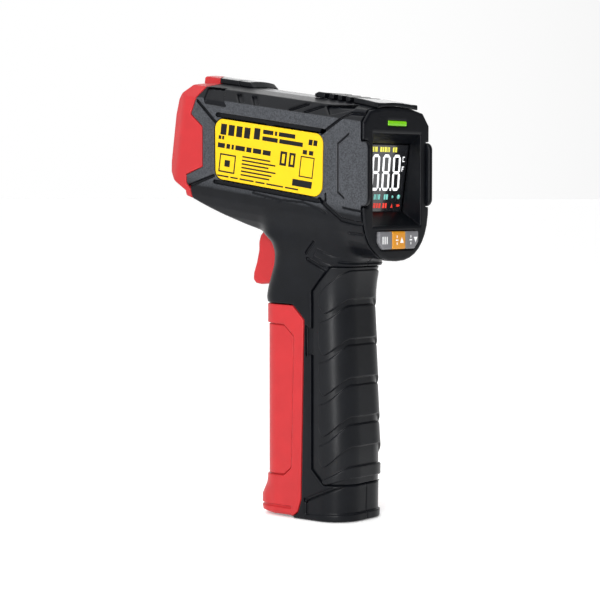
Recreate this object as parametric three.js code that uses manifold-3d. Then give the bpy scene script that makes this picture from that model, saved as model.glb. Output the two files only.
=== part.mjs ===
// Handheld infrared thermometer with a pistol grip.
// Millimetres, +Z up along the grip. The muzzle points to -Y and tilts up; the screen faces +Y.
// X = 0 is the plane between the two housing halves. The grip stands on Z = 0.
import * as THREE from 'three';
import { mergeVertices } from 'three/addons/utils/BufferGeometryUtils.js';
import { ConvexGeometry } from 'three/addons/geometries/ConvexGeometry.js';
import Module from 'manifold-3d';

const wasm = await Module();
wasm.setup();

// Driving dimensions
const BARREL_TILT = THREE.MathUtils.degToRad(8.2);
const WALL = 2;
const NOSE_WALL = 2.4;
const GAP = 0.3;
const OVERCUT = 0.01;             // lets a cut pass just outside a face, so no film is left
const HALF_WIDTH = 17.8;          // head, over the side faces
const TOP_EDGE = 137.9;           // barrel height of the edge between top face and side chamfer
const TOP_CROWN = 139.5;
const TOP_BLOCK_HALF = 6.5;
const MUZZLE = 58.9;              // barrel distance from the origin to the front face
const REAR_Y = 41.5;              // end of the housing beside the screen
const HOUSING_END_Y = 40.9;       // end of the housing above and below it
const BEZEL = { back: 38.4, rim: 41.2, face: 42.3 };
const GRIP_HALF = 13.5;
const GRIP_FRONT_Y = -4.7;
const TRIGGER_HALF = 6;
const TRIGGER_PIVOT = { y: 2.4, z: 90.4 };
const DOOR_PIVOT = { y: -3.5, z: 5.5 };
const DOOR_SWEEP = 6.35;          // radius about the door pin that the foot keeps inside
const PIN_RADIUS = 1;
const BATTERY = { radius: 5.15, length: 44.5, x: 5.6, y: 6.6, z: 15.6 };
const KEY = { width: 6.9, low: 89.2, high: 94.9, back: 38.4, front: 43.1, stemEnd: 36.9, travel: 0.5 };
const KEY_ROW = [
  [-8.5, KEY.low], [8.5, KEY.low], [10.65, 91.4], [10.65, KEY.high], [-10.65, KEY.high], [-10.65, 91.4],
];
const DISPLAY_BACK = 19.4;        // barrel distance of the window behind the origin
const SCREW_SINK = 4.4;
const SCREW_PLACES = [
  { y: 3, z: 131.6, half: HALF_WIDTH },
  { y: -18, z: 105.5, half: HALF_WIDTH },
  { y: 13.2, z: 84.5, half: 14.2 },
  { y: 20.5, z: 57, half: GRIP_HALF },
  { y: 20.5, z: 19, half: GRIP_HALF },
];
const LENGTH_CENTRE_Y = 0.9;      // middle of the overall length, ahead of the grip axis

const product = new THREE.Group();
product.position.y = -LENGTH_CENTRE_Y;
const barrel = new THREE.Group();
barrel.rotation.x = -BARREL_TILT;
product.add(barrel);

const plastic = (color, roughness) => new THREE.MeshStandardMaterial({ color, roughness, metalness: 0 });
const metal = (color, roughness) => new THREE.MeshStandardMaterial({ color, roughness, metalness: 1 });
const BLACK = 0x2b2c30;
const RED = 0xd63a3e;
const GREY = 0x7d7d80;
const ORANGE = 0xe19614;
const YELLOW = 0xffe614;
const GREEN = 0x70c400;
const BOARD = 0x1f5a34;
const STEEL = 0xb9bcc0;

// Solids

function bareGeometry(geometry) {
  const bare = geometry.index ? geometry.toNonIndexed() : geometry.clone();
  bare.deleteAttribute('normal');
  bare.deleteAttribute('uv');
  return mergeVertices(bare, 1e-4);
}

function solidOf(geometry) {
  const merged = bareGeometry(geometry);
  const vertProperties = new Float32Array(merged.attributes.position.array);
  const triVerts = new Uint32Array(merged.index.array);
  return new wasm.Manifold(new wasm.Mesh({ numProp: 3, vertProperties, triVerts }));
}

function geometryOf(solid) {
  const mesh = solid.getMesh();
  const geometry = new THREE.BufferGeometry();
  geometry.setAttribute('position', new THREE.BufferAttribute(new Float32Array(mesh.vertProperties), 3));
  geometry.setIndex(new THREE.BufferAttribute(new Uint32Array(mesh.triVerts), 1));
  geometry.computeVertexNormals();
  return geometry;
}

const union = (first, ...others) => others.reduce((whole, solid) => whole.add(solid), first);
const cut = (first, ...others) => others.reduce((whole, solid) => whole.subtract(solid), first);

function shapeOf(points) {
  return new THREE.Shape(points.map(([a, b]) => new THREE.Vector2(a, b)));
}

function extrusion(points, depth, along, across, up, start) {
  const geometry = new THREE.ExtrudeGeometry(shapeOf(points), { depth, bevelEnabled: false, steps: 1 });
  const matrix = new THREE.Matrix4().makeBasis(across, up, along);
  matrix.setPosition(along.clone().multiplyScalar(start));
  return solidOf(geometry.applyMatrix4(matrix));
}

const AXIS_X = new THREE.Vector3(1, 0, 0);
const AXIS_Y = new THREE.Vector3(0, 1, 0);
const AXIS_Z = new THREE.Vector3(0, 0, 1);

// An outline of [y, z] points from x0 to x1
const prismX = (points, x0, x1) => extrusion(points, x1 - x0, AXIS_X, AXIS_Y, AXIS_Z, x0);

// An outline of [x, z] points from y0 to y1
function prismY(points, y0, y1) {
  return extrusion(points, y1 - y0, AXIS_Y.clone().negate(), AXIS_X, AXIS_Z, -y1);
}

// An outline of [x, y] points from z0 to z1
const prismZ = (points, z0, z1) => extrusion(points, z1 - z0, AXIS_Z, AXIS_X, AXIS_Y, z0);

const rectangle = (a0, a1, b0, b1) => [[a0, b0], [a1, b0], [a1, b1], [a0, b1]];

const block = (x0, x1, y0, y1, z0, z1) => prismZ(rectangle(x0, x1, y0, y1), z0, z1);

// Rectangle with one corner radius per side of its second axis
function roundedRectangle(a0, a1, b0, b1, lowRadius, highRadius = lowRadius, steps = 3) {
  const corners = [
    [a0 + lowRadius, b0 + lowRadius, lowRadius, 180],
    [a1 - lowRadius, b0 + lowRadius, lowRadius, 270],
    [a1 - highRadius, b1 - highRadius, highRadius, 0],
    [a0 + highRadius, b1 - highRadius, highRadius, 90],
  ];
  const points = [];
  for (const [a, b, radius, start] of corners) {
    for (let i = 0; i <= steps; i += 1) {
      const angle = THREE.MathUtils.degToRad(start + (90 * i) / steps);
      points.push([a + radius * Math.cos(angle), b + radius * Math.sin(angle)]);
    }
  }
  return points;
}

function circle(a, b, radius, count = 16) {
  return Array.from({ length: count }, (_, i) => {
    const angle = (2 * Math.PI * i) / count;
    return [a + radius * Math.cos(angle), b + radius * Math.sin(angle)];
  });
}

// Moves every side of a counter-clockwise outline inwards by the distance
function inset(points, distance) {
  const count = points.length;
  const sides = points.map(([a, b], i) => {
    const [c, d] = points[(i + 1) % count];
    const length = Math.hypot(c - a, d - b);
    const direction = [(c - a) / length, (d - b) / length];
    return { origin: [a - direction[1] * distance, b + direction[0] * distance], direction };
  });
  return sides.map((side, i) => {
    const before = sides[(i + count - 1) % count];
    const cross = before.direction[0] * side.direction[1] - before.direction[1] * side.direction[0];
    const da = side.origin[0] - before.origin[0];
    const db = side.origin[1] - before.origin[1];
    const travel = (da * side.direction[1] - db * side.direction[0]) / cross;
    return [before.origin[0] + travel * before.direction[0], before.origin[1] + travel * before.direction[1]];
  });
}

const mirrored = (half) => [...half, ...half.filter(([a]) => a !== 0).map(([a, b]) => [-a, b]).reverse()];

// A convex body over outlines that each lie at one height
function hullOver(layers) {
  const points = layers.flatMap(({ outline, z }) => outline.map(([a, b]) => new THREE.Vector3(a, b, z)));
  return solidOf(new ConvexGeometry(points));
}

// A ring or disc turned about the local barrel axis: profile of [radius, distance forward]
function turnedForward(profile, height, segments = 20) {
  const points = profile.map(([radius, forward]) => new THREE.Vector2(radius, forward));
  const geometry = new THREE.LatheGeometry([...points, points[0]], segments);
  geometry.rotateX(Math.PI);
  geometry.translate(0, 0, height);
  return solidOf(geometry);
}

function addMesh(parent, name, shape, material) {
  const geometry = shape instanceof wasm.Manifold ? geometryOf(shape) : bareGeometry(shape);
  geometry.computeVertexNormals();
  const mesh = new THREE.Mesh(geometry, material);
  mesh.name = name;
  parent.add(mesh);
}

// Turns a solid made in barrel axes into the object's axes
const tilted = (solid) => solid.rotate([-THREE.MathUtils.radToDeg(BARREL_TILT), 0, 0]);

// Body shape shared by the housing, nose, bezel, sleeve and door

const HEAD_SECTION = mirrored([
  [0, 90.1], [8, 91.3], [12.3, 94], [15.5, 98.1], [17.3, 103.2], [HALF_WIDTH, 109.5],
  [HALF_WIDTH, 133.9], [14.3, TOP_EDGE], [8, 139.1], [0, TOP_CROWN],
]);

const HEAD_UNDERSIDE = [
  [REAR_Y, 82], [36, 82], [22, 88], [GRIP_FRONT_Y, 94.2], [-12.3, 96.9], [-19.8, 99.8], [-25.3, 102.1],
  [-33, 105.7], [-37.6, 107.2], [-42.5, 109.1], [-70, 119],
];

// The underside rises to the muzzle; the flat rear end stands upright
function headSolid(depth, rearY) {
  const section = inset(HEAD_SECTION, depth);
  const long = tilted(prismY(section, -90, 90));
  const rise = HEAD_UNDERSIDE.slice(1).map(([y, z]) => [y, z + depth]);
  const side = [[rearY, HEAD_UNDERSIDE[0][1] + depth], ...rise, [-70, 170], [rearY, 170]];
  return long.intersect(prismX(side, -BEYOND, BEYOND));
}

function gripOutline(half, front, rear, depth) {
  return roundedRectangle(-half + depth, half - depth, front + depth, rear - depth, 7 - depth, 10 - depth, 4);
}

// Cross-sections of the grip from the foot into the head
const GRIP_LEVELS = [
  { z: 0, half: GRIP_HALF, front: GRIP_FRONT_Y, rear: 30.4 },
  { z: 22, half: GRIP_HALF, front: GRIP_FRONT_Y, rear: 30.8 },
  { z: 72, half: GRIP_HALF, front: GRIP_FRONT_Y, rear: 28.6 },
  { z: 76.2, half: 13.7, front: -4.3, rear: 28.9 },
  { z: 79.8, half: 13.9, front: -2.9, rear: 29.2 },
  { z: 83.7, half: 14.3, front: -1.3, rear: 30.3 },
  { z: 87.6, half: 14.9, front: -0.5, rear: 32.3 },
  { z: 91, half: 15.4, front: -1.4, rear: 34 },
  { z: 93.8, half: 15.4, front: GRIP_FRONT_Y, rear: 34.8 },
  { z: 98, half: 15.4, front: GRIP_FRONT_Y, rear: 36 },
];

function gripSolid(depth) {
  const layers = GRIP_LEVELS.map(({ z, half, front, rear }) => (
    { outline: gripOutline(half, front, rear, depth), z: Math.max(z, depth) }));
  const stages = layers.slice(1).map((upper, i) => {
    const { outline, z } = layers[i];
    return hullOver([{ outline, z: i === 0 ? z : z - OVERCUT }, upper]);
  });
  return union(...stages);
}

const bodySolid = (depth, rearY) => union(headSolid(depth, rearY), gripSolid(depth));

// Borders between the pieces of the casing, as [y, z] outlines

const NOSE_BORDER = [
  [-80, 160], [-80, 90], [-32.5, 90], [-32.5, 108.7], [-34, 110.7], [-34, 113.6], [-26.5, 116.1],
  [-26.5, 129.7], [-31.7, 134], [-27.5, 143.3], [-27.5, 160],
];

const DOOR_BORDER = [
  [-12, 0.3], [9, 0.3], [11.6, 2.2], [13, 6.5], [14.2, 65.8], [9.4, 70.4], [-12, 71],
];

const SLEEVE_BORDER = [
  [17.6, 17], [22.6, 12.2], [50, 12.2], [50, 83.2], [24.6, 83.2], [17.6, 75.2],
];

const BEYOND = 40;                // reaches past both sides of the object
const SLEEVE_DEPTH = 1.2;

function noseShroud() {
  const region = prismX(NOSE_BORDER, -BEYOND, BEYOND);
  const outer = headSolid(0, REAR_Y).intersect(region);
  const taper = tilted(prismZ([
    [-HALF_WIDTH - 1, -40], [-HALF_WIDTH - 1, -51.5], [-15.9, -MUZZLE], [15.9, -MUZZLE],
    [HALF_WIDTH + 1, -51.5], [HALF_WIDTH + 1, -40], [HALF_WIDTH + 1, 0], [-HALF_WIDTH - 1, 0],
  ].reverse(), 60, 170));
  const faces = tilted(prismX([
    [0, 170], [-47.5, 170], [-47.5, TOP_CROWN + 0.1], [-53.4, 138.6], [-57.8, 132.5], [-MUZZLE, 127],
    [-MUZZLE, 108], [-57.3, 103.4], [-57.3, 80], [0, 80],
  ], -BEYOND, BEYOND));
  const redBlock = tilted(blockOnTop(55.9, 40)).intersect(region);
  const outside = union(outer.intersect(taper).intersect(faces), redBlock);
  const core = prismY(inset(HEAD_SECTION, NOSE_WALL), -54.4, 0);
  const inside = tilted(core.intersect(prismX([
    [0, 90], [0, 150], [-52.4, 150], [-52.4, 137.9], [-54.5, 135], [-54.5, 90],
  ].reverse(), -BEYOND, BEYOND)));
  const underside = HEAD_UNDERSIDE.slice(3).map(([y, z]) => [y, z + NOSE_WALL]);
  const hollow = inside.intersect(prismX([...underside, [-70, 170], [GRIP_FRONT_Y, 170]], -BEYOND, BEYOND));
  const opening = tilted(prismY(roundedRectangle(-11.5, 11.5, 107.5, 134.6, 5, 5), -70, -50));
  return cut(outside, hollow, opening);
}

// Raised block on the top face, between two barrel distances
function blockOnTop(front, rear) {
  return prismX([
    [-front, 138.2], [-rear, 138.2], [-rear, 139.4], [-rear - 2.8, 141.4], [-front + 0.6, 141.4],
    [-front, 140.9],
  ].reverse(), -TOP_BLOCK_HALF, TOP_BLOCK_HALF);
}

function housing() {
  const outer = bodySolid(0, REAR_Y);
  const hollow = bodySolid(WALL, REAR_Y + WALL + 1);
  const nose = prismX(inset(NOSE_BORDER, -GAP), -BEYOND, BEYOND);
  const door = prismX(inset(DOOR_BORDER, -GAP), -BEYOND, BEYOND);
  const doorGap = door.intersect(block(-BEYOND, BEYOND, -20, 16, -5, 71.4));
  const besideScreen = block(-BEYOND, BEYOND, 30, 60, 102.8, 123.7);
  const rearEnd = cut(block(-BEYOND, BEYOND, HOUSING_END_Y, 60, 80, 150), besideScreen);
  const keys = prismY(inset(KEY_ROW, -GAP), KEY.back - KEY.travel - GAP, 60);
  const triggerSlot = block(-TRIGGER_HALF - 0.5, TRIGGER_HALF + 0.5, -12, 6, 76.2, 101);
  const { y, z } = TRIGGER_PIVOT;
  const triggerBore = prismX(circle(y, z, PIN_RADIUS + GAP, 12), -9, 9);
  const labels = labelPanel(GAP, 0.9).add(labelPanel(GAP, 0.9).mirror([1, 0, 0]));
  const sleeveBorder = prismX(inset(SLEEVE_BORDER, -GAP), -BEYOND, BEYOND);
  const sleeve = cut(gripSolid(-OVERCUT), gripSolid(SLEEVE_DEPTH)).intersect(sleeveBorder);
  const shell = cut(outer, hollow, nose, doorGap, rearEnd, keys, triggerSlot, triggerBore, labels, sleeve);
  return union(shell, cheeks(), doorLugs(), pivotLugs(), ...SCREW_PLACES.map(screwBoss));
}

function cheeks() {
  const outline = [[38, 102.8], [42.4, 102.8], [43.8, 104.6], [43.8, 121.9], [42.4, 123.7], [38, 123.7]];
  const right = prismX(outline, HALF_WIDTH - WALL, HALF_WIDTH - 0.2);
  return right.add(right.mirror([1, 0, 0]));
}

// Arms that hold the pin of the battery door
function doorLugs() {
  const { y, z } = DOOR_PIVOT;
  const arm = [
    [y, z - 0.9], [4.5, z - 1.4], [4.5, 0], [11.4, 0], [11.4, z + 2], [y, z + 2],
  ];
  const lug = union(prismX(arm, 3.4, 6), prismX(circle(y, z, 2, 12), 3.4, 6), block(3.4, 11.2, 7, 11.4, 0, 2));
  const bored = cut(lug, prismX(circle(y, z, PIN_RADIUS + GAP, 12), 0, 20));
  return bored.add(bored.mirror([1, 0, 0]));
}

// Ears that hold the pin of the trigger, on the inner faces of the two halves
function pivotLugs() {
  const { y, z } = TRIGGER_PIVOT;
  const lug = union(
    prismX(circle(y, z, 2.4, 12), 7.2, 9.4),
    block(8.4, 14.5, y - 2, y + 2, z - 1.5, z + 1.5),
    block(7.2, 9.4, y - 2, y + 2, z, 98),
  ).intersect(bodySolid(WALL / 2, REAR_Y));
  const bored = cut(lug, prismX(circle(y, z, PIN_RADIUS + GAP, 12), 0, 9));
  return bored.add(bored.mirror([1, 0, 0]));
}

function screwBoss({ y, z }) {
  const post = prismX(circle(y, z, 2.9, 12), -18, 18);
  return post.intersect(bodySolid(WALL / 2, REAR_Y));
}

function screwHoles({ y, z, half }) {
  const shaft = prismX(circle(y, z, 1.4, 12), -half - 2, 8);
  const head = prismX(circle(y, z, 2.4, 12), -half - 2, -half + SCREW_SINK);
  return shaft.add(head);
}

function housingHalves() {
  const whole = cut(housing(), ...SCREW_PLACES.map(screwHoles));
  const left = whole.intersect(block(GAP / 2, BEYOND, -90, 90, -5, 160));
  const right = whole.intersect(block(-BEYOND, -GAP / 2, -90, 90, -5, 160));
  return { left, right };
}

function screw({ y, z, half }) {
  const start = -half + SCREW_SINK - GAP;
  const head = prismX(circle(y, z, 2.1, 10), start - 1.7, start);
  const slot = block(start - 3, start - 1, y - 0.3, y + 0.3, z - 1.6, z + 1.6);
  const shaft = prismX(circle(y, z, 1.1, 8), start - 0.5, 6);
  return cut(head, slot).add(shaft);
}

// Side label, in a shallow recess whose ends stand upright
const LABEL_CORNERS = [[-20.6, 112.2], [25.3, 105.6], [25.7, 125.9], [-20.8, 132.5]];

function labelPanel(margin, depth) {
  const outline = inset(LABEL_CORNERS, -margin);
  return prismX(outline, HALF_WIDTH - depth, HALF_WIDTH + 1);
}

function labelPlate() {
  return prismX(LABEL_CORNERS, HALF_WIDTH - 0.6, HALF_WIDTH - 0.2);
}

// Soft sleeve over the rear of the grip
function gripSleeve() {
  const band = cut(gripSolid(0), gripSolid(SLEEVE_DEPTH - GAP));
  const whole = band.intersect(prismX(SLEEVE_BORDER, -BEYOND, BEYOND));
  return cut(whole, ...SCREW_PLACES.map(screwHoles));
}

function topFrontBlock() {
  const behindNose = prismX(inset(NOSE_BORDER, -GAP), -BEYOND, BEYOND);
  const lift = tilted(prismY(inset(HEAD_SECTION, -GAP), -90, 90));
  return cut(tilted(blockOnTop(50, 32.5)), behindNose, lift);
}

function topRearSpine() {
  const outline = [[-6, 138], [44, 138], [44, 139.2], [14, 140.7], [-4.6, 141.1], [-6, 140.4]];
  const spine = tilted(prismX(outline, -7.5, 7.5));
  const slots = [-0.8, 2.95, 6.7, 10.4].map((y) => tilted(block(-9, 9, y - 0.9, y + 0.9, 139.9, 150)));
  const brow = prismY([[-10.7, 132.6], [10.7, 132.6], [10.7, 134], [6, 135.4], [0, 135.9], [-6, 135.4],
    [-10.7, 134]], BEZEL.face + GAP, 44.6);
  const aheadOfBrow = block(-BEYOND, BEYOND, -90, BEZEL.face + 0.2, 0, 200);
  const lift = tilted(prismY(inset(HEAD_SECTION, -GAP), -90, 90)).intersect(aheadOfBrow);
  const trimmed = cut(spine, ...slots, lift).intersect(block(-BEYOND, BEYOND, -90, 44.6, 0, 200));
  return union(trimmed, brow);
}

// Frame of the screen and the keys
function rearBezel() {
  const rim = headSolid(0.1, BEZEL.face).intersect(block(-BEYOND, BEYOND, BEZEL.rim, BEZEL.face, 80, 150));
  const core = headSolid(WALL + GAP, BEZEL.face);
  const plug = core.intersect(block(-BEYOND, BEYOND, BEZEL.back, BEZEL.rim + GAP, 80, 150));
  const plate = rim.add(plug);
  const inner = HALF_WIDTH - WALL - GAP;
  const notches = cut(block(-BEYOND, BEYOND, 30, 60, 102.5, 124), block(-inner, inner, 30, 60, 90, 140));
  const funnel = block(-14, 14, 33.4, 39, 96.4, 127.6);
  const opening = block(-12.9, 12.9, 20, 60, 98, 125.8);
  const keys = prismY(inset(KEY_ROW, -GAP), 30, 60);
  const light = block(-5.4, 5.4, 30, 60, 128.3, 130.9);
  const display = tilted(block(-15, 15, 0, DISPLAY_BACK + GAP, 98, 133));
  return cut(union(plate, funnel), notches, opening, keys, light, display);
}

function key(x0) {
  const cell = block(x0, x0 + KEY.width, KEY.back, KEY.front, KEY.low, KEY.high);
  const cap = cell.intersect(prismY(KEY_ROW, KEY.back, KEY.front));
  const stem = block(x0 + 2, x0 + KEY.width - 2, KEY.stemEnd, KEY.back + 1, KEY.low + 1.6, KEY.high - 1.6);
  return cap.add(stem);
}

// Trigger: a curved finger pad with side cheeks, a boss on the pin and a pusher for the switch
function trigger() {
  const { y, z } = TRIGGER_PIVOT;
  const pad = [
    [-9.3, 95], [-11.1, 93], [-11.8, 90.7], [-11.8, 88], [-12.8, 83.9], [-14.1, 80.4], [-14.3, 78],
    [-13.1, 76.7], [-10.9, 76.4], [-2.4, 77.4], [0, 84], [2.4, 88.2], [2.4, 92.6], [-1.4, 97], [-6, 97],
  ];
  const body = prismX(pad, -TRIGGER_HALF, TRIGGER_HALF);
  const hollow = prismX([
    [-9.4, 91], [-9.8, 86], [-10.6, 82.4], [-11.4, 79.9], [2, 79.9], [2, 87], [-5.4, 87], [-6.2, 91],
  ], -TRIGGER_HALF + 1.6, TRIGGER_HALF - 1.6);
  const boss = prismX(circle(y, z, 2.4, 12), -TRIGGER_HALF, TRIGGER_HALF);
  const pusher = block(-1.6, 1.6, -4, 0.6, 77.7, 79.5);
  const bore = prismX(circle(y, z, PIN_RADIUS + GAP, 12), -20, 20);
  return cut(union(cut(body, hollow), boss, pusher), bore);
}

// Battery door: a channel that makes the front of the grip, on ears at its foot
function batteryDoor() {
  const region = prismX(DOOR_BORDER, -BEYOND, BEYOND);
  const bump = hullOver([
    { outline: roundedRectangle(-13.2, 13.2, -6.9, 5, 7, 1), z: 0.3 },
    { outline: roundedRectangle(-13.2, 13.2, -7.4, 5, 7, 1), z: 3 },
    { outline: roundedRectangle(-13.2, 13.2, -7.4, 5, 7, 1), z: 6.4 },
    { outline: roundedRectangle(-13.2, 13.2, -4.8, 5, 7, 1), z: 12 },
  ]);
  const grooves = [[1.2, 2], [3.2, 4]].map(([z0, z1]) => cut(
    block(-14, 14, -9, -2, z0, z1),
    prismZ(roundedRectangle(-12.7, 12.7, -6.6, 5, 6.5, 1), -1, 20),
  ));
  const swing = prismX(circle(DOOR_PIVOT.y, DOOR_PIVOT.z, DOOR_SWEEP, 32), -BEYOND, BEYOND);
  const foot = cut(block(-BEYOND, BEYOND, -20, DOOR_PIVOT.y, -2, DOOR_PIVOT.z), swing);
  const outer = cut(union(gripSolid(0), bump), ...grooves).intersect(region);
  const inside = union(
    gripSolid(1.8),
    block(-9.6, 9.6, -2.9, 30, -2, 5),
    block(-11.7, 11.7, 3.5, 30, -2, 5),
    block(-9.6, 9.6, -2.9, 20, 60, 69.1),
  );
  const bumpHollow = prismX(circle(DOOR_PIVOT.y, DOOR_PIVOT.z, 2.4, 12), -6.6, 6.6)
    .add(block(-6.6, 6.6, DOOR_PIVOT.y - 1, 0, -1, 9.4));
  const walls = cut(outer, inside, foot, bumpHollow);
  const ear = union(
    prismX(circle(DOOR_PIVOT.y, DOOR_PIVOT.z, 2.1, 12), 6.9, 9.2),
    block(6.9, 9.2, -6, DOOR_PIVOT.y, DOOR_PIVOT.z - 2.1, DOOR_PIVOT.z + 2.1),
  );
  const bore = prismX(circle(DOOR_PIVOT.y, DOOR_PIVOT.z, PIN_RADIUS + GAP, 12), -9.6, 9.6);
  return cut(union(walls, ear, ear.mirror([1, 0, 0])), bore);
}

function batteryTray() {
  const back = block(-11.1, 11.1, 12.2, 13.6, 10.4, 65.4);
  const floor = block(-11.1, 11.1, 3.8, 12.5, 10.4, 11.6);
  const roof = block(-11.1, 11.1, 1.6, 12.5, 62, 63.2);
  const rib = block(-0.35, 0.35, 9, 12.5, 11, 63);
  return union(back, floor, roof, rib);
}

function battery(x) {
  const { radius, y, z, length } = BATTERY;
  const nub = prismZ(circle(x, y, 1.9, 12), z + length - 1, z + length);
  return prismZ(circle(x, y, radius, 20), z, z + length - 0.8).add(nub);
}

class Helix extends THREE.Curve {
  constructor(radius, length, turns) {
    super();
    this.radius = radius;
    this.length = length;
    this.turns = turns;
  }

  getPoint(t, target = new THREE.Vector3()) {
    const angle = 2 * Math.PI * this.turns * t;
    return target.set(this.radius * Math.cos(angle), this.radius * Math.sin(angle), this.length * t);
  }
}

function tube(curve, radius, steps, sides = 6) {
  const section = shapeOf(circle(0, 0, radius, sides));
  return new THREE.ExtrudeGeometry(section, { extrudePath: curve, steps, bevelEnabled: false });
}

function coilSpring(radius, wire, length, turns) {
  return tube(new Helix(radius, length, turns), wire, Math.round(turns * 9));
}

function addCasing() {
  const { left, right } = housingHalves();
  addMesh(product, 'left_housing', left, plastic(BLACK, 0.6));
  addMesh(product, 'right_housing', right, plastic(BLACK, 0.6));
  addMesh(product, 'nose_shroud', noseShroud(), plastic(RED, 0.45));
  addMesh(product, 'top_front_block', topFrontBlock(), plastic(BLACK, 0.45));
  addMesh(product, 'top_rear_spine', topRearSpine(), plastic(BLACK, 0.45));
  addMesh(product, 'grip_sleeve', gripSleeve(), plastic(BLACK, 0.7));
  addMesh(product, 'label_left', labelPlate(), plastic(YELLOW, 0.4));
  addMesh(product, 'label_right', labelPlate().mirror([1, 0, 0]), plastic(YELLOW, 0.4));
  SCREW_PLACES.forEach((place, i) => {
    addMesh(product, `housing_screw_${i + 1}`, screw(place), metal(STEEL, 0.35));
  });
}

function addRear() {
  addMesh(product, 'rear_bezel', rearBezel(), plastic(BLACK, 0.35));
  addMesh(product, 'status_light', block(-5.1, 5.1, 38.6, 42.6, 128.6, 130.6), plastic(GREEN, 0.3));
  const pitch = KEY.width + GAP;
  const first = -KEY.width / 2;
  addMesh(product, 'key_left', key(first + pitch), plastic(GREY, 0.4));
  addMesh(product, 'key_middle', key(first), plastic(ORANGE, 0.4));
  addMesh(product, 'key_right', key(first - pitch), plastic(GREY, 0.4));
  const membrane = block(-11.5, 11.5, 34.6, 35.9, 86, 95.9).intersect(headSolid(WALL + GAP, REAR_Y));
  addMesh(product, 'keypad_membrane', membrane, plastic(0x55565a, 0.8));
  const glass = new THREE.MeshStandardMaterial({ color: 0x16181c, roughness: 0.1, metalness: 0 });
  addMesh(barrel, 'display_window', block(-13.2, 13.2, DISPLAY_BACK - 1, DISPLAY_BACK, 103.2, 127), glass);
  const module = block(-12.6, 12.6, 12.4, DISPLAY_BACK - 1.4, 102, 128);
  addMesh(barrel, 'display_module', module, plastic(0x202226, 0.4));
  addMesh(barrel, 'main_board', block(-13, 13, 10.4, 12, 99, 131), plastic(BOARD, 0.5));
  addMesh(barrel, 'buzzer', prismY(circle(6.5, 124, 4.5, 16), 6.6, 10), plastic(0x151515, 0.4));
}

function addOptics() {
  const axis = 119.5;
  const plate = prismY(roundedRectangle(-13.2, 13.2, 105.4, 135.1, 4, 4), -54, -52.4);
  const apertures = prismY(circle(0, axis, 8.6, 20), -60, -40).add(prismY(circle(0, 132.2, 2.1, 12), -60, -40));
  addMesh(barrel, 'nose_plate', cut(plate, apertures), plastic(0x1b1c1f, 0.5));
  const tubeProfile = [[8.3, 45.4], [4.6, 30], [6.2, 30], [9.6, 44], [9.6, 52], [8.3, 52]];
  addMesh(barrel, 'optics_tube', turnedForward(tubeProfile, axis), plastic(0x1b1c1f, 0.5));
  addMesh(barrel, 'ir_lens', prismY(circle(0, axis, 7.9, 20), -50.2, -48.6), plastic(0xc9ccd0, 0.2));
  addMesh(barrel, 'ir_sensor', union(prismY(circle(0, axis, 4.1, 16), -29.4, -25.6),
    prismY(circle(0, axis, 4.6, 16), -26.2, -25.3)), metal(STEEL, 0.3));
  addMesh(barrel, 'sensor_board', block(-9, 9, -25, -23.4, 110, 128), plastic(BOARD, 0.5));
  addMesh(barrel, 'laser_module', prismY(circle(0, 132.2, 2.6, 16), -51.6, -39), metal(0xb08d3c, 0.35));
  addMesh(barrel, 'laser_lens', prismY(circle(0, 132.2, 1.7, 12), -53.6, -51.9), plastic(0x8a1a1a, 0.1));
}

function addTriggerGroup() {
  const { y, z } = TRIGGER_PIVOT;
  addMesh(product, 'trigger', trigger(), plastic(RED, 0.45));
  addMesh(product, 'trigger_pin', prismX(circle(y, z, PIN_RADIUS, 12), -8.9, 8.9), metal(STEEL, 0.3));
  const spring = coilSpring(1.9, 0.3, 16, 7);
  spring.rotateX(-Math.PI / 2);
  spring.translate(0, -9.1, 83.6);
  addMesh(product, 'trigger_spring', spring, metal(STEEL, 0.3));
  const micro = union(block(-3, 3, 3.8, 7.2, 75.6, 81.4), block(-1, 1, 2.6, 4, 77.6, 79.6));
  addMesh(product, 'trigger_switch', micro, plastic(0x151515, 0.5));
  addMesh(product, 'switch_board', block(-7, 7, 7.5, 8.9, 73.5, 89), plastic(BOARD, 0.5));
}

function addBatteryGroup() {
  const { x, y, z, length } = BATTERY;
  addMesh(product, 'battery_door', batteryDoor(), plastic(RED, 0.45));
  const pin = prismX(circle(DOOR_PIVOT.y, DOOR_PIVOT.z, PIN_RADIUS, 12), -9.3, 9.3);
  addMesh(product, 'door_pin', pin, metal(STEEL, 0.3));
  addMesh(product, 'battery_tray', batteryTray(), plastic(0x1b1c1f, 0.6));
  addMesh(product, 'battery_left', battery(x), metal(0x3f6f9f, 0.4));
  addMesh(product, 'battery_right', battery(-x), metal(0x3f6f9f, 0.4));
  for (const [name, place] of [['contact_spring_left', x], ['contact_spring_right', -x]]) {
    const coil = coilSpring(2.6, 0.3, 2.2, 2.5);
    coil.translate(place, y, z - 3);
    addMesh(product, name, coil, metal(STEEL, 0.25));
  }
  addMesh(product, 'contact_plate_bottom', block(-10.4, 10.4, 4, 8.7, 11.9, 12.2), metal(STEEL, 0.25));
  const topPlate = block(-10.4, 10.4, 3, 8.7, z + length + GAP, 61.7);
  addMesh(product, 'contact_plate_top', topPlate, metal(STEEL, 0.25));
}

function addLeads() {
  for (const [name, x, color] of [['battery_lead_red', 4, 0xb02020], ['battery_lead_black', -4, 0x101010]]) {
    const route = new THREE.CatmullRomCurve3([
      new THREE.Vector3(x, 15, 62),
      new THREE.Vector3(x, 18.5, 70),
      new THREE.Vector3(x * 1.2, 20.5, 82),
      new THREE.Vector3(x * 1.4, 19.5, 94),
      new THREE.Vector3(x * 1.5, 22, 104),
    ]);
    addMesh(product, name, tube(route, 0.6, 18), plastic(color, 0.5));
  }
}

addCasing();
addRear();
addOptics();
addTriggerGroup();
addBatteryGroup();
addLeads();

export default product;
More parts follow.
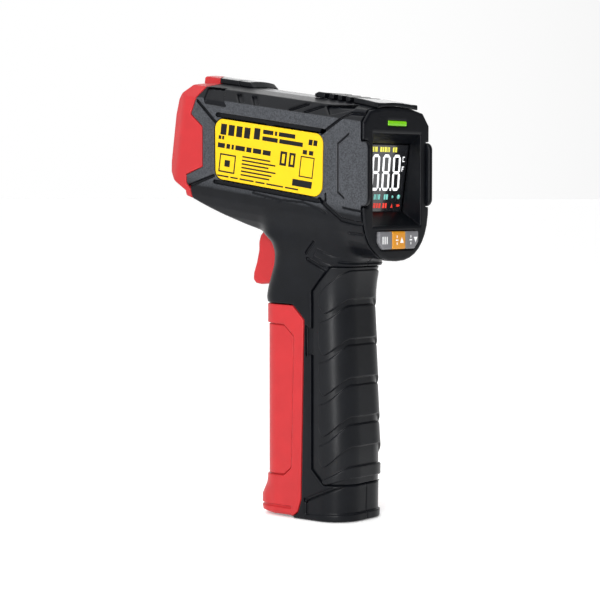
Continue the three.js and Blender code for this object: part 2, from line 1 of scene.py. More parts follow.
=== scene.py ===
"""Looks of the infrared thermometer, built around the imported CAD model.

Casing pieces are distance fields on a grid, meshed with OpenVDB. Fields use millimetres in the design
axes of the CAD model; place() moves a finished mesh into the row frame in metres. A field is negative
inside the piece, so min() joins two fields, max() keeps what they share and max(a, -b) cuts b from a.
"""
import math

import bmesh
import bpy
import numpy as np
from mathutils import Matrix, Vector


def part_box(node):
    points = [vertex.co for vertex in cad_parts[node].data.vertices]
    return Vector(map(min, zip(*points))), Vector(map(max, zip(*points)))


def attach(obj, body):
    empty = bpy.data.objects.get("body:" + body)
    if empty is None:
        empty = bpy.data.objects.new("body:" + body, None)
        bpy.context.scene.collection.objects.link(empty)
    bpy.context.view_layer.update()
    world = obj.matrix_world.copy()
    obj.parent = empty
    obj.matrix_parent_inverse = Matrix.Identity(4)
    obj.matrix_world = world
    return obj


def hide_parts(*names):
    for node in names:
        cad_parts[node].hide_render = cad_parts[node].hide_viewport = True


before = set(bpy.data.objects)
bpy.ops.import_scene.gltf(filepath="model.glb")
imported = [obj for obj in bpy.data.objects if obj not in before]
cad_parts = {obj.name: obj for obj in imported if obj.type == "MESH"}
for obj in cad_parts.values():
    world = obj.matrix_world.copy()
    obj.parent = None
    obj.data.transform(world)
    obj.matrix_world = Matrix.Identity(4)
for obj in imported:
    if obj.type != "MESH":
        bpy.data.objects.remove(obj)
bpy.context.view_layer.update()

import openvdb
from mathutils import Vector

MM = 0.001
TILT = math.radians(8.2)
COS, SIN = math.cos(TILT), math.sin(TILT)
VOXEL = 0.3
FINE = 0.2

# Dimensions shared with the CAD model
WALL = 2.0
SEAM = 0.04
HALF_WIDTH = 17.8
TOP_EDGE = 137.9
TOP_CROWN = 139.5
MUZZLE = 58.9
REAR_Y = 41.5
HOUSING_END = 40.9
BEZEL_FACE = 42.3
GRIP_HALF = 13.5
GRIP_FRONT = -4.7
TRIGGER_PIVOT = (2.4, 90.4)
DOOR_PIVOT = (-3.5, 5.5)
SCREWS = [(3, 131.6, 17.8), (-18, 105.5, 17.8), (13.2, 84.5, 14.2), (20.5, 57, 13.5), (20.5, 19, 13.5)]
SCREW_SINK = 4.4
SCREW_BOSS, SCREW_RECESS, SCREW_BORE = 2.9, 2.4, 1.4
PIN_BORE = 1.3
NECK_BLEND = 2.5
HOUSING_ADAPTIVITY = 0.006      # merges flat areas of each housing into fewer faces; keeps each housing under 200,000 faces

pin_low, pin_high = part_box("trigger_pin")
ORIGIN_Y = (pin_low.y + pin_high.y) / 2 / MM - TRIGGER_PIVOT[0]

# ---------------------------------------------------------------- distance fields


class Grid:
    """Sample points of a box, with the barrel axes v (backwards) and u (upwards) beside y and z."""

    def __init__(self, low, high, voxel):
        self.voxel = voxel
        self.low = np.array(low, float)
        counts = [int(math.ceil((b - a) / voxel)) + 1 for a, b in zip(low, high)]
        axes = [np.float32(a + voxel * np.arange(count)) for a, count in zip(low, counts)]
        self.x = axes[0][:, None, None]
        self.y = axes[1][None, :, None]
        self.z = axes[2][None, None, :]
        self.v = self.y * COS - self.z * SIN
        self.u = self.y * SIN + self.z * COS


def polygon(points, a, b):
    """Signed distance to a closed outline, negative inside."""
    shape = np.broadcast(a, b).shape
    best = np.full(shape, 1e9, np.float32)
    inside = np.zeros(shape, bool)
    for (ax, ay), (bx, by) in zip(points, points[1:] + points[:1]):
        ex, ey = bx - ax, by - ay
        px, py = a - ax, b - ay
        t = np.clip((px * ex + py * ey) / (ex * ex + ey * ey), 0, 1)
        best = np.minimum(best, (px - ex * t) ** 2 + (py - ey * t) ** 2)
        if ay != by:
            inside ^= ((ay > b) != (by > b)) & (a < ex * (b - ay) / ey + ax)
    return np.where(inside, -1, 1).astype(np.float32) * np.sqrt(best)


def polyline(points, a, b):
    """Distance to an open line."""
    best = np.full(np.broadcast(a, b).shape, 1e9, np.float32)
    for (ax, ay), (bx, by) in zip(points, points[1:]):
        ex, ey = bx - ax, by - ay
        px, py = a - ax, b - ay
        t = np.clip((px * ex + py * ey) / (ex * ex + ey * ey), 0, 1)
        best = np.minimum(best, (px - ex * t) ** 2 + (py - ey * t) ** 2)
    return np.sqrt(best)


def inset(points, distance):
    """Outline with every side moved inwards; the points run counter-clockwise."""
    sides = []
    for (ax, ay), (bx, by) in zip(points, points[1:] + points[:1]):
        length = math.hypot(bx - ax, by - ay)
        dx, dy = (bx - ax) / length, (by - ay) / length
        sides.append((ax - dy * distance, ay + dx * distance, dx, dy))
    result = []
    for before, side in zip(sides[-1:] + sides[:-1], sides):
        cross = before[2] * side[3] - before[3] * side[2]
        travel = ((side[0] - before[0]) * side[3] - (side[1] - before[1]) * side[2]) / cross
        result.append((before[0] + travel * before[2], before[1] + travel * before[3]))
    return result


def rounded(points, radius, a, b):
    """Distance to an outline whose outer corners are rounded."""
    return polygon(inset(points, radius), a, b) - radius


def smin(a, b, k):
    h = np.clip(0.5 + 0.5 * (b - a) / k, 0, 1)
    return b * (1 - h) + a * h - k * h * (1 - h)


def smax(a, b, k):
    return -smin(-a, -b, k)


def along_barrel(points, radius, grid):
    """An outline in x and u, run along the barrel."""
    step = 0.1
    levels = np.arange(float(grid.u.min()) - 1, float(grid.u.max()) + 1, step, dtype=np.float32)
    table = rounded(points, radius, grid.x[:, :, 0], levels[None, :])
    place_in_table = (grid.u[0] - levels[0]) / step
    index = np.clip(place_in_table.astype(int), 0, len(levels) - 2)
    part = (place_in_table - index).astype(np.float32)
    return table[:, index] * (1 - part) + table[:, index + 1] * part


def slab(value, low, high):
    return np.maximum(low - value, value - high)


def box_field(grid, x0, x1, y0, y1, z0, z1, radius=0.0):
    q = [
        slab(grid.x, x0 + radius, x1 - radius),
        slab(grid.y, y0 + radius, y1 - radius),
        slab(grid.z, z0 + radius, z1 - radius),
    ]
    outside = np.sqrt(sum(np.maximum(c, 0) ** 2 for c in q))
    return outside + np.minimum(np.maximum(np.maximum(q[0], q[1]), q[2]), 0) - radius


def circle(grid, y, z):
    return np.sqrt((grid.y - y) ** 2 + (grid.z - z) ** 2)


def engrave(body, region, depth, soft=0.25):
    """Cuts a region, given as a distance along the surface, into a body to a depth."""
    return smax(body, -np.maximum(region, -(body + depth)), soft)


def emboss_to(shape, region, raised):
    """Raises a region up to another surface."""
    return np.minimum(shape, smax(region, raised, 0.2))


# ---------------------------------------------------------------- body shape

BELLY_U, BELLY_DEPTH, BELLY_POWER = 109.5, 19.4, 2 / 2.4


def belly(degrees):
    """Point of the rounded lower half of the head, from the middle to the flank."""
    angle = math.radians(degrees)
    drop = BELLY_DEPTH * math.cos(angle) ** BELLY_POWER
    return (HALF_WIDTH * math.sin(angle) ** BELLY_POWER, BELLY_U - drop)


half_section = [belly(degrees) for degrees in (0, 10, 20, 30, 40, 50, 60, 70, 80)]
half_section += [(HALF_WIDTH, BELLY_U), (HALF_WIDTH, 133.9), (14.3, TOP_EDGE), (8, 139.1), (0, TOP_CROWN)]
HEAD_SECTION = half_section + [(-x, u) for x, u in reversed(half_section[1:-1])]
UNDERSIDE = [
    (36, 82), (22, 88), (GRIP_FRONT, 94.2), (-12.3, 96.9), (-19.8, 99.8), (-25.3, 102.1), (-33, 105.7),
    (-37.6, 107.2), (-42.5, 109.1), (-70, 119),
]
NOSE_BORDER = [
    (-80, 160), (-80, 90), (-32.5, 90), (-32.5, 108.7), (-34, 110.7), (-34, 113.6), (-26.5, 116.1),
    (-26.5, 129.7), (-31.7, 134), (-27.5, 143.3), (-27.5, 160),
]
DOOR_BORDER = [(-12, 0.3), (9, 0.3), (11.6, 2.2), (13, 6.5), (14.2, 65.8), (9.4, 70.4), (-12, 71)]
SLEEVE_BORDER = [(17.6, 17), (22.6, 12.2), (50, 12.2), (50, 83.2), (24.6, 83.2), (17.6, 75.2)]
LABEL = [(-20.6, 112.2), (25.3, 105.6), (25.7, 125.9), (-20.8, 132.5)]


def head(grid, depth=0.0, rear=REAR_Y, soft=0.8):
    section = along_barrel(HEAD_SECTION, 0.5, grid) + depth
    side = [(rear, 82)] + UNDERSIDE + [(-70, 170), (rear, 170)]
    return smax(section, polygon(side, grid.y, grid.z) + depth, soft)


GRIP_LEVELS = [     # height, half-width, front, rear
    (0, 13.5, GRIP_FRONT, 30.4), (22, 13.5, GRIP_FRONT, 30.8), (71.4, 13.5, GRIP_FRONT, 28.6),
    (72.6, 13.5, -5.2, 28.6), (76.2, 13.7, -4.3, 28.8), (79.8, 13.9, -2.9, 29.3), (83.7, 14.2, -1.3, 30.2),
    (87.6, 14.8, -0.5, 32), (91, 15.4, -1.4, 34), (93.8, 15.4, GRIP_FRONT, 35), (98, 15.4, GRIP_FRONT, 36),
]


def levels_at(z, column, soften):
    """One column of the grip levels at the heights z, with its corners eased."""
    table = np.array(GRIP_LEVELS, float)
    ease = np.linspace(-soften, soften, 9)[:, None]
    return np.interp(z.ravel()[None, :] + ease, table[:, 0], table[:, column]).mean(axis=0).astype(np.float32)


def grip(grid, depth=0.0):
    z = grid.z
    half = levels_at(z, 1, 3)
    front = levels_at(z, 2, 0.9)
    rear = levels_at(z, 3, 3)
    centre = (rear + front) / 2
    radius = np.where(grid.y > centre, 10.0, 7.0).astype(np.float32)
    qx = np.abs(grid.x) - half + radius
    qy = np.abs(grid.y - centre) - (rear - front) / 2 + radius
    outside = np.sqrt(np.maximum(qx, 0) ** 2 + np.maximum(qy, 0) ** 2)
    outline = outside + np.minimum(np.maximum(qx, qy), 0) - radius
    return smax(outline, slab(z, 0, 100), 0.6) + depth


def body(grid, rear=REAR_Y):
    return smin(head(grid, 0, rear), grip(grid), NECK_BLEND)


# ---------------------------------------------------------------- meshes


def place(points):
    moved = np.array(points, float)
    moved[:, 1] += ORIGIN_Y
    return moved * MM


def new_object(name, points, faces, smooth=True):
    mesh = bpy.data.meshes.new(name)
    mesh.from_pydata(points.tolist() if hasattr(points, "tolist") else points, [], faces)
    mesh.update()
    if smooth:
        mesh.polygons.foreach_set("use_smooth", np.ones(len(mesh.polygons), bool))
    made = bpy.data.objects.new(name, mesh)
    bpy.context.scene.collection.objects.link(made)
    return made


def normals_at(values, grid, points):
    """Surface directions from the slope of the field."""
    position = (points - grid.low) / grid.voxel
    top = np.array(values.shape) - 2
    base = np.clip(np.floor(position).astype(int), 1, top - 1)
    part = position - base
    slope = np.zeros_like(points)
    for corner in np.ndindex(2, 2, 2):
        weight = np.prod(np.where(np.array(corner), part, 1 - part), axis=1)
        i, j, k = (base + corner).T
        slope[:, 0] += weight * (values[i + 1, j, k] - values[i - 1, j, k])
        slope[:, 1] += weight * (values[i, j + 1, k] - values[i, j - 1, k])
        slope[:, 2] += weight * (values[i, j, k + 1] - values[i, j, k - 1])
    length = np.linalg.norm(slope, axis=1, keepdims=True)
    return slope / np.maximum(length, 1e-6)


def mesh_field(name, values, grid, mirror=False, adaptivity=0.004):
    band = 4 * grid.voxel
    shape = np.broadcast(grid.x, grid.y, grid.z).shape
    values = np.ascontiguousarray(np.broadcast_to(values, shape), np.float32)
    values = np.clip(values, -band, band)
    volume = openvdb.FloatGrid(band)
    volume.copyFromArray(values)
    volume.transform = openvdb.createLinearTransform(voxelSize=grid.voxel)
    points, triangles, quads = volume.convertToPolygons(isovalue=0.0, adaptivity=adaptivity)
    points = np.array(points, float) + grid.low
    normals = normals_at(values, grid, points)
    faces = [tuple(f) for f in triangles.tolist()] + [tuple(f) for f in quads.tolist()]
    a, b, c = (points[[f[i] for f in faces]] for i in range(3))
    outward = np.einsum("ij,ij->i", np.cross(b - a, c - a), normals[[f[0] for f in faces]]).sum() > 0
    if mirror:
        points[:, 0] *= -1
        normals[:, 0] *= -1
    if outward == mirror:
        faces = [tuple(reversed(f)) for f in faces]
    made = new_object(name, place(points), faces)
    made.data.normals_split_custom_set_from_vertices(normals.tolist())
    return made


def finish_piece(piece, look, slot, body_name, *nodes):
    piece.data.materials.append(M[look])
    if nodes:
        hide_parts(*nodes)
    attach(piece, body_name)


def make_piece(node, field, grid, look, slot, body_name="body", **options):
    """Meshes a field as the closer version of one CAD node."""
    finish_piece(mesh_field("looks_" + node, field, grid, **options), look, slot, body_name, node)


# ---------------------------------------------------------------- materials


BROAD_SCALE, BROAD_DETAIL = 160, 6
GRAIN_DETAIL, GRAIN_ROUGHNESS = 3, 0.6
ROUGHNESS_SPREAD, ROUGHNESS_FLOOR = 0.07, 0.02
BUMP_STRENGTH, COAT_ROUGHNESS = 0.6, 0.12
FLANK_FINISH_AND_SHEEN_EDGE = (0.35, 0.1)        # the paler flank finish, partly painted sheen, fades in between these depths under the full width
SPECKLE = (0.62, 1.4)


def surface(name, color, roughness, grain=2200, depth=0.00003, mottle=0.12, metallic=0.0, coat=0.0,
            specular=0.5, emission=0.0, stretch=(1, 1, 1), flank_finish_and_sheen=None):
    """Moulded or metal surface: broad mottling, fine roughness changes and a bump of the given grain."""
    material = bpy.data.materials.new(name)
    material.use_nodes = True
    tree = material.node_tree
    nodes, links = tree.nodes, tree.links
    shader = nodes["Principled BSDF"]
    shader.inputs["Metallic"].default_value = metallic
    shader.inputs["Coat Weight"].default_value = coat
    shader.inputs["Coat Roughness"].default_value = COAT_ROUGHNESS
    shader.inputs["Specular IOR Level"].default_value = specular
    coordinates = nodes.new("ShaderNodeTexCoord")
    mapping = nodes.new("ShaderNodeMapping")
    mapping.inputs["Scale"].default_value = stretch
    links.new(coordinates.outputs["Object"], mapping.inputs["Vector"])
    ramp = add_mottling(tree, mapping, color, mottle)
    fine = add_grain(tree, mapping, roughness, grain, depth)
    # paler speckled flanks: a real spark-eroded finish, made paler with painted sheen
    if flank_finish_and_sheen:
        add_flank_finish_and_sheen(tree, coordinates, ramp, fine, flank_finish_and_sheen)
    if emission:
        links.new(ramp.outputs["Color"], shader.inputs["Emission Color"])
        shader.inputs["Emission Strength"].default_value = emission
    return material


def add_mottling(tree, mapping, color, mottle):
    """Broad noise that shifts the colour a little up and down."""
    nodes, links = tree.nodes, tree.links
    broad = nodes.new("ShaderNodeTexNoise")
    broad.inputs["Scale"].default_value = BROAD_SCALE
    broad.inputs["Detail"].default_value = BROAD_DETAIL
    ramp = nodes.new("ShaderNodeValToRGB")
    ramp.color_ramp.elements[0].position = 0.3
    ramp.color_ramp.elements[1].position = 0.7
    ramp.color_ramp.elements[0].color = [c * (1 - mottle) for c in color] + [1]
    ramp.color_ramp.elements[1].color = [min(1, c * (1 + mottle)) for c in color] + [1]
    links.new(mapping.outputs["Vector"], broad.inputs["Vector"])
    links.new(broad.outputs["Fac"], ramp.inputs["Fac"])
    links.new(ramp.outputs["Color"], nodes["Principled BSDF"].inputs["Base Color"])
    return ramp


def add_grain(tree, mapping, roughness, grain, depth):
    """Fine noise that changes the roughness and raises the grain."""
    nodes, links = tree.nodes, tree.links
    shader = nodes["Principled BSDF"]
    fine = nodes.new("ShaderNodeTexNoise")
    fine.inputs["Scale"].default_value = grain
    fine.inputs["Detail"].default_value = GRAIN_DETAIL
    fine.inputs["Roughness"].default_value = GRAIN_ROUGHNESS
    spread = nodes.new("ShaderNodeMapRange")
    spread.inputs["To Min"].default_value = max(ROUGHNESS_FLOOR, roughness - ROUGHNESS_SPREAD)
    spread.inputs["To Max"].default_value = roughness + ROUGHNESS_SPREAD
    bump = nodes.new("ShaderNodeBump")
    bump.inputs["Strength"].default_value = BUMP_STRENGTH
    bump.inputs["Distance"].default_value = depth
    links.new(mapping.outputs["Vector"], fine.inputs["Vector"])
    links.new(fine.outputs["Fac"], spread.inputs["Value"])
    links.new(spread.outputs["Result"], shader.inputs["Roughness"])
    links.new(fine.outputs["Fac"], bump.inputs["Height"])
    links.new(bump.outputs["Normal"], shader.inputs["Normal"])
    return fine


def add_flank_finish_and_sheen(tree, coordinates, plain, fine, color):
    """Speckled finish of the flat flanks, where the casing is nearly at its full width; its paler colour is
    partly painted sheen, standing in for light off the flanks.
    """
    nodes, links = tree.nodes, tree.links
    split = nodes.new("ShaderNodeSeparateXYZ")
    across = nodes.new("ShaderNodeMath")
    across.operation = "ABSOLUTE"
    outside = nodes.new("ShaderNodeMapRange")
    outside.inputs["From Min"].default_value = (HALF_WIDTH - FLANK_FINISH_AND_SHEEN_EDGE[0]) * MM
    outside.inputs["From Max"].default_value = (HALF_WIDTH - FLANK_FINISH_AND_SHEEN_EDGE[1]) * MM
    speckle_and_sheen = nodes.new("ShaderNodeValToRGB")
    speckle_and_sheen.color_ramp.elements[0].position = 0.35
    speckle_and_sheen.color_ramp.elements[1].position = 0.68
    speckle_and_sheen.color_ramp.elements[0].color = [c * SPECKLE[0] for c in color] + [1]
    speckle_and_sheen.color_ramp.elements[1].color = [c * SPECKLE[1] for c in color] + [1]
    mix = nodes.new("ShaderNodeMix")
    mix.data_type = "RGBA"
    links.new(coordinates.outputs["Object"], split.inputs["Vector"])
    links.new(split.outputs["X"], across.inputs[0])
    links.new(across.outputs["Value"], outside.inputs["Value"])
    links.new(fine.outputs["Fac"], speckle_and_sheen.inputs["Fac"])
    links.new(outside.outputs["Result"], mix.inputs[0])
    links.new(plain.outputs["Color"], mix.inputs[6])
    links.new(speckle_and_sheen.outputs["Color"], mix.inputs[7])
    links.new(mix.outputs[2], nodes["Principled BSDF"].inputs["Base Color"])


def segments(name, color, emission, mottle=0.12):
    """Lit marks of the display."""
    return surface(name, color, 0.4, grain=900, depth=0.000002, mottle=mottle, emission=emission)


def metal(name, color, roughness, grain=1800, depth=0.00001, stretch=(1, 1, 1)):
    return surface(name, color, roughness, grain=grain, depth=depth, metallic=1.0, stretch=stretch)


M = {
    # the flank colour is painted sheen over the speckled finish, far paler than the black base
    "housing": surface("housing_plastic", (0.0034, 0.0040, 0.0056), 0.33, grain=2100, depth=0.00004,
                       mottle=0.2, specular=0.14, flank_finish_and_sheen=(0.046, 0.049, 0.055)),
    "satin": surface("satin_plastic", (0.0036, 0.0042, 0.0058), 0.30, grain=2600, depth=0.00002,
                     specular=0.14),
    "rubber": surface("grip_rubber", (0.0050, 0.0056, 0.0072), 0.34, grain=2400, depth=0.00003, mottle=0.15,
                      specular=0.17),
    "red": surface("red_plastic", (0.40, 0.015, 0.018), 0.42, grain=2600, depth=0.00003, mottle=0.05,
                   specular=0.3),
    "label": surface("label_film", (0.68, 0.44, 0.008), 0.4, grain=1800, depth=0.00001, mottle=0.03,
                     specular=0.15),
    "ink": surface("label_ink", (0.006, 0.006, 0.007), 0.5, grain=2400, depth=0.00001, specular=0.15),
    "grey_key": surface("grey_key_plastic", (0.15, 0.15, 0.16), 0.42, grain=2600, depth=0.00002, mottle=0.06),
    "orange_key": surface("orange_key_plastic", (0.62, 0.25, 0.004), 0.42, grain=2600, depth=0.00002,
                          mottle=0.05),
    "icon": surface("key_print", (0.85, 0.85, 0.85), 0.5, grain=2600, depth=0.00001, mottle=0.03),
    "green": surface("green_light_pipe", (0.14, 0.45, 0.0), 0.25, grain=900, depth=0.00001, emission=0.15),
    "screen": surface("screen_glass", (0.013, 0.014, 0.017), 0.16, grain=600, depth=0.000002, coat=0.6),
    "white_segments": segments("white_segments", (0.95, 0.96, 0.97), 0.55, mottle=0.02),
    "yellow_segments": segments("yellow_segments", (0.85, 0.80, 0.10), 0.3),
    "teal_segments": segments("teal_segments", (0.22, 0.62, 0.56), 0.3),
    "red_segments": segments("red_segments", (0.85, 0.05, 0.03), 0.4),
    "steel": metal("steel", (0.55, 0.56, 0.58), 0.28, stretch=(1, 6, 1)),
    "dark_steel": metal("dark_screw_steel", (0.10, 0.10, 0.11), 0.35, grain=2400, depth=0.00002),
    "brass": metal("brass", (0.62, 0.43, 0.16), 0.3),
    "board": surface("board_lacquer", (0.015, 0.11, 0.04), 0.35, grain=1200, depth=0.00003, coat=0.4),
    "part": surface("black_part_plastic", (0.016, 0.017, 0.019), 0.45, grain=2400, depth=0.00003),
    "lens": surface("germanium_lens", (0.42, 0.45, 0.48), 0.10, grain=400, depth=0.000002, metallic=0.6,
                    coat=1.0),
    "laser": surface("laser_lens_glass", (0.28, 0.012, 0.012), 0.08, grain=400, depth=0.000002, coat=1.0),
    "cell": surface("battery_sleeve_film", (0.05, 0.16, 0.34), 0.3, grain=1200, depth=0.00001, metallic=0.4,
                    coat=0.5),
    "red_wire": surface("red_wire_skin", (0.45, 0.01, 0.01), 0.45, grain=1800, depth=0.00002),
    "black_wire": surface("black_wire_skin", (0.012, 0.012, 0.012), 0.45, grain=1800, depth=0.00002),
    "membrane": surface("membrane_rubber", (0.10, 0.10, 0.11), 0.7, grain=1800, depth=0.00003),
    "floor": surface("floor_paper", (0.90, 0.90, 0.90), 0.75, grain=900, depth=0.00002, mottle=0.01,
                     emission=0.27),
}

# ---------------------------------------------------------------- housing halves

# Grooves as (points, width, depth): the first list runs along the barrel, the second in y and z
SIDE_GROOVES_BARREL = [
    ([(-48.0, 132.9), (-39.0, 126.8)], 1.0, 0.9),
    ([(-37.2, 108.9), (-47.8, 104.1)], 1.0, 0.9),
    ([(6.9, 128.5), (16.4, 136.0), (24.2, 136.5)], 0.9, 0.8),
    ([(-38.4, 129.3), (7.2, 129.3)], 1.5, 1.1),
    ([(-36.6, 107.0), (8.6, 107.0)], 1.3, 0.9),
]
SIDE_GROOVES = [
    ([(24.2, 105.3), (32.8, 98.8), (38.8, 97.6), (43.2, 97.5)], 1.3, 0.8),
    ([(33.6, 102.6), (38.8, 101.7), (45.5, 101.1)], 0.5, 0.5),
    ([(34.8, 94.6), (44.0, 93.7)], 0.6, 0.5),
    ([(-4.0, 107.4), (7.9, 105.1), (17.6, 104.3), (23.8, 102.4), (26.7, 100.8)], 0.5, 0.3),
    ([(36.2, 125.9), (31.7, 122.8), (31.7, 107.5), (36.2, 104.1)], 0.6, 0.5),
    ([(26.7, 107.0), (26.7, 104.2)], 0.7, 0.7),
    ([(19.9, 91.4), (16.4, 87.8)], 1.0, 0.8),
    ([(16.7, 85.9), (24.5, 82.1), (29.0, 80.4), (40.0, 79.4)], 1.2, 0.8),
    ([(28.1, 86.4), (21.0, 89.2), (19.1, 86.9), (26.7, 83.5)], 0.5, 0.3),
    ([(27.5, 85.0), (31.7, 84.4), (45.0, 83.4)], 0.7, 0.5),
    ([(14.7, 6.7), (27.1, 12.1)], 0.6, 0.5),
    ([(14.7, 7.0), (14.7, 1.4)], 0.6, 0.5),
]
CHAMFER_SLOTS = [
    [(-33.2, 136.9), (-30.8, 136.9), (-27.3, 134.2), (-29.7, 134.2)],
    [(-26.5, 136.9), (-24.1, 136.9), (-20.7, 134.2), (-23.1, 134.2)],
    [(-3.0, 137.0), (-0.6, 137.0), (-6.5, 134.2), (-8.9, 134.2)],
    [(3.3, 137.0), (5.7, 137.0), (-0.2, 134.2), (-2.6, 134.2)],
]
FRONT_POCKET = [(-46.7, 137.7), (-44.6, 132.3), (-34.6, 132.1), (-39.4, 137.9)]
REAR_POCKET = [(5.0, 137.3), (8.6, 134.6), (17.2, 137.4), (14.4, 138.6)]
NOTCH = [(14.9, 64.5), (15.0, 53.7), (17.7, 54.9), (17.7, 62.6)]
HEEL = [(15.0, 1.7), (40, 3.3), (40, 14.4), (27.1, 11.5), (15.0, 6.3)]


def side_details(grid, shape):
    for points, width, depth in SIDE_GROOVES_BARREL:
        shape = engrave(shape, polyline(points, grid.v, grid.u) - width / 2, depth)
    for points, width, depth in SIDE_GROOVES:
        shape = engrave(shape, polyline(points, grid.y, grid.z) - width / 2, depth)
    for outline in CHAMFER_SLOTS:
        shape = engrave(shape, rounded(counter_clockwise(outline), 0.2, grid.v, grid.u), 0.8)
    for outline, depth in ((FRONT_POCKET, 0.7), (REAR_POCKET, 0.9)):
        shape = engrave(shape, rounded(counter_clockwise(outline), 0.3, grid.v, grid.u), depth)
    shape = engrave(shape, rounded(NOTCH, 0.3, grid.y, grid.z), 1.1)
    shape = engrave(shape, rounded(HEEL, 0.3, grid.y, grid.z), 0.6)
    return engrave(shape, rounded(LABEL, 3.6, grid.y, grid.z) - 0.25, 0.8, 0.2)


def counter_clockwise(points):
    area = sum(ax * by - bx * ay for (ax, ay), (bx, by) in zip(points, points[1:] + points[:1])) / 2
    return points if area > 0 else points[::-1]


def cut_openings(grid, shape):
    """Openings of a half shell: nose, door, sleeve, trigger and rear frame."""
    nose = polygon(inset(NOSE_BORDER, -0.12), grid.y, grid.z)
    door = rounded(inset(DOOR_BORDER, -0.3), 0.9, grid.y, grid.z)
    door = np.maximum(door, np.maximum(grid.y - 16, grid.z - 71.4))
    sleeve = np.maximum(polygon(inset(SLEEVE_BORDER, -0.25), grid.y, grid.z), -(grip(grid) + 1.3))
    trigger_slot = box_field(grid, -6.4, 6.4, -14, 6, 76.2, 101, 0.5)
    rear = np.maximum(HOUSING_END - grid.y, 80 - grid.z)
    for opening, soft in ((nose, 0.35), (door, 0.35), (sleeve, 0.3), (trigger_slot, 0.5), (rear, 0.2)):
        shape = smax(shape, -opening, soft)
    return shape


def cheek_beside_screen(grid):
    """Ear of the shell that runs back over the side of the rear frame."""
    plate = box_field(grid, HALF_WIDTH - WALL, HALF_WIDTH - 0.1, 34, 43.8, 102.9, 123.6, 0.8)
    outline = [(30, 90), (42.2, 102.4), (44.4, 105.4), (44.4, 121.1), (42.2, 124.1), (30, 136)]
    return smax(plate, polygon(outline, grid.y, grid.z), 0.5)


def housing_field(grid, with_screws):
    shape = side_details(grid, body(grid))
    hollow = smin(head(grid, WALL, 60), grip(grid, WALL), NECK_BLEND)
    shape = np.maximum(shape, -hollow)
    inner = body(grid) + WALL / 2
    for y, z, _ in SCREWS:
        shape = np.minimum(shape, np.maximum(circle(grid, y, z) - SCREW_BOSS, inner))
    shape = cut_openings(grid, shape)
    shape = np.minimum(shape, cheek_beside_screen(grid))
    shape = np.minimum(shape, lugs(grid))
    shape = np.maximum(shape, -np.maximum(circle(grid, *TRIGGER_PIVOT) - PIN_BORE, grid.x - 9))
    if with_screws:
        for y, z, half in SCREWS:
            hole = np.maximum(circle(grid, y, z) - SCREW_RECESS, half - SCREW_SINK - grid.x)
            shape = smax(shape, -np.minimum(hole, circle(grid, y, z) - SCREW_BORE), 0.2)
    return np.maximum(shape, SEAM - grid.x)


def lugs(grid):
    """Arms that hold the door pin and ears that hold the trigger pin."""
    y, z = DOOR_PIVOT
    outline = [(y, z - 0.9), (4.5, z - 1.4), (4.5, 0), (11.4, 0), (11.4, z + 2), (y, z + 2)]
    arm = np.minimum(polygon(outline, grid.y, grid.z), circle(grid, y, z) - 2)
    arm = np.maximum(arm, slab(grid.x, 3.4, 6))
    arm = np.minimum(arm, box_field(grid, 3.4, 11.2, 7, 11.4, 0, 2))
    arm = np.maximum(arm, PIN_BORE - circle(grid, y, z))
    y, z = TRIGGER_PIVOT
    ear = np.maximum(circle(grid, y, z) - 2.4, slab(grid.x, 7.2, 9.4))
    ear = np.minimum(ear, box_field(grid, 8.4, 14.5, y - 2, y + 2, z - 1.5, z + 1.5))
    ear = np.maximum(ear, body(grid) + 1)
    return np.minimum(arm, ear)


def add_housings():
    grid = Grid((-1, -36, -1), (19, 46, 147), VOXEL)
    for name, with_screws in (("left_housing", False), ("right_housing", True)):
        shape = housing_field(grid, with_screws)
        make_piece(name, shape, grid, "housing", "black_plastic", mirror=with_screws,
                   adaptivity=HOUSING_ADAPTIVITY)


# ---------------------------------------------------------------- nose, top pieces

TOP_BLOCK_HALF = 6.5


def block_on_top(grid, front, rear):
    """Raised block with a crowned top."""
    crown = 0.5 * (grid.x / TOP_BLOCK_HALF) ** 2
    outline = [(-front, 138.2), (-rear, 138.2), (-rear, 139.4), (-rear - 2.8, 141.4), (-front + 0.6, 141.4),
               (-front, 140.9)]
    return smax(polygon(outline, grid.v, grid.u + crown), np.abs(grid.x) - TOP_BLOCK_HALF, 0.3)


def ahead_of_arrow(grid):
    """Negative ahead of the arrow-shaped joint across the raised block."""
    return (grid.v + 48.6 + 0.66 * (TOP_BLOCK_HALF - np.abs(grid.x))) * 0.8


NOSE_FACES = [
    (0, 170), (-47.5, 170), (-47.5, TOP_CROWN + 0.1), (-53.4, 138.6), (-57.8, 132.5), (-MUZZLE, 127),
    (-MUZZLE, 111), (-58.2, 107.4), (-55.8, 104.9), (-50, 102), (-50, 80), (0, 80),
]
NOSE_PLAN = [
    (HALF_WIDTH + 1, 0), (-HALF_WIDTH - 1, 0), (-HALF_WIDTH - 1, -51.5), (-15.9, -MUZZLE),
    (15.9, -MUZZLE), (HALF_WIDTH + 1, -51.5),
]
NOSE_CORE = [(0, 90), (0, 150), (-52.4, 150), (-52.4, 137.9), (-54.5, 135), (-54.5, 90)]
NOSE_WALL = 2.4


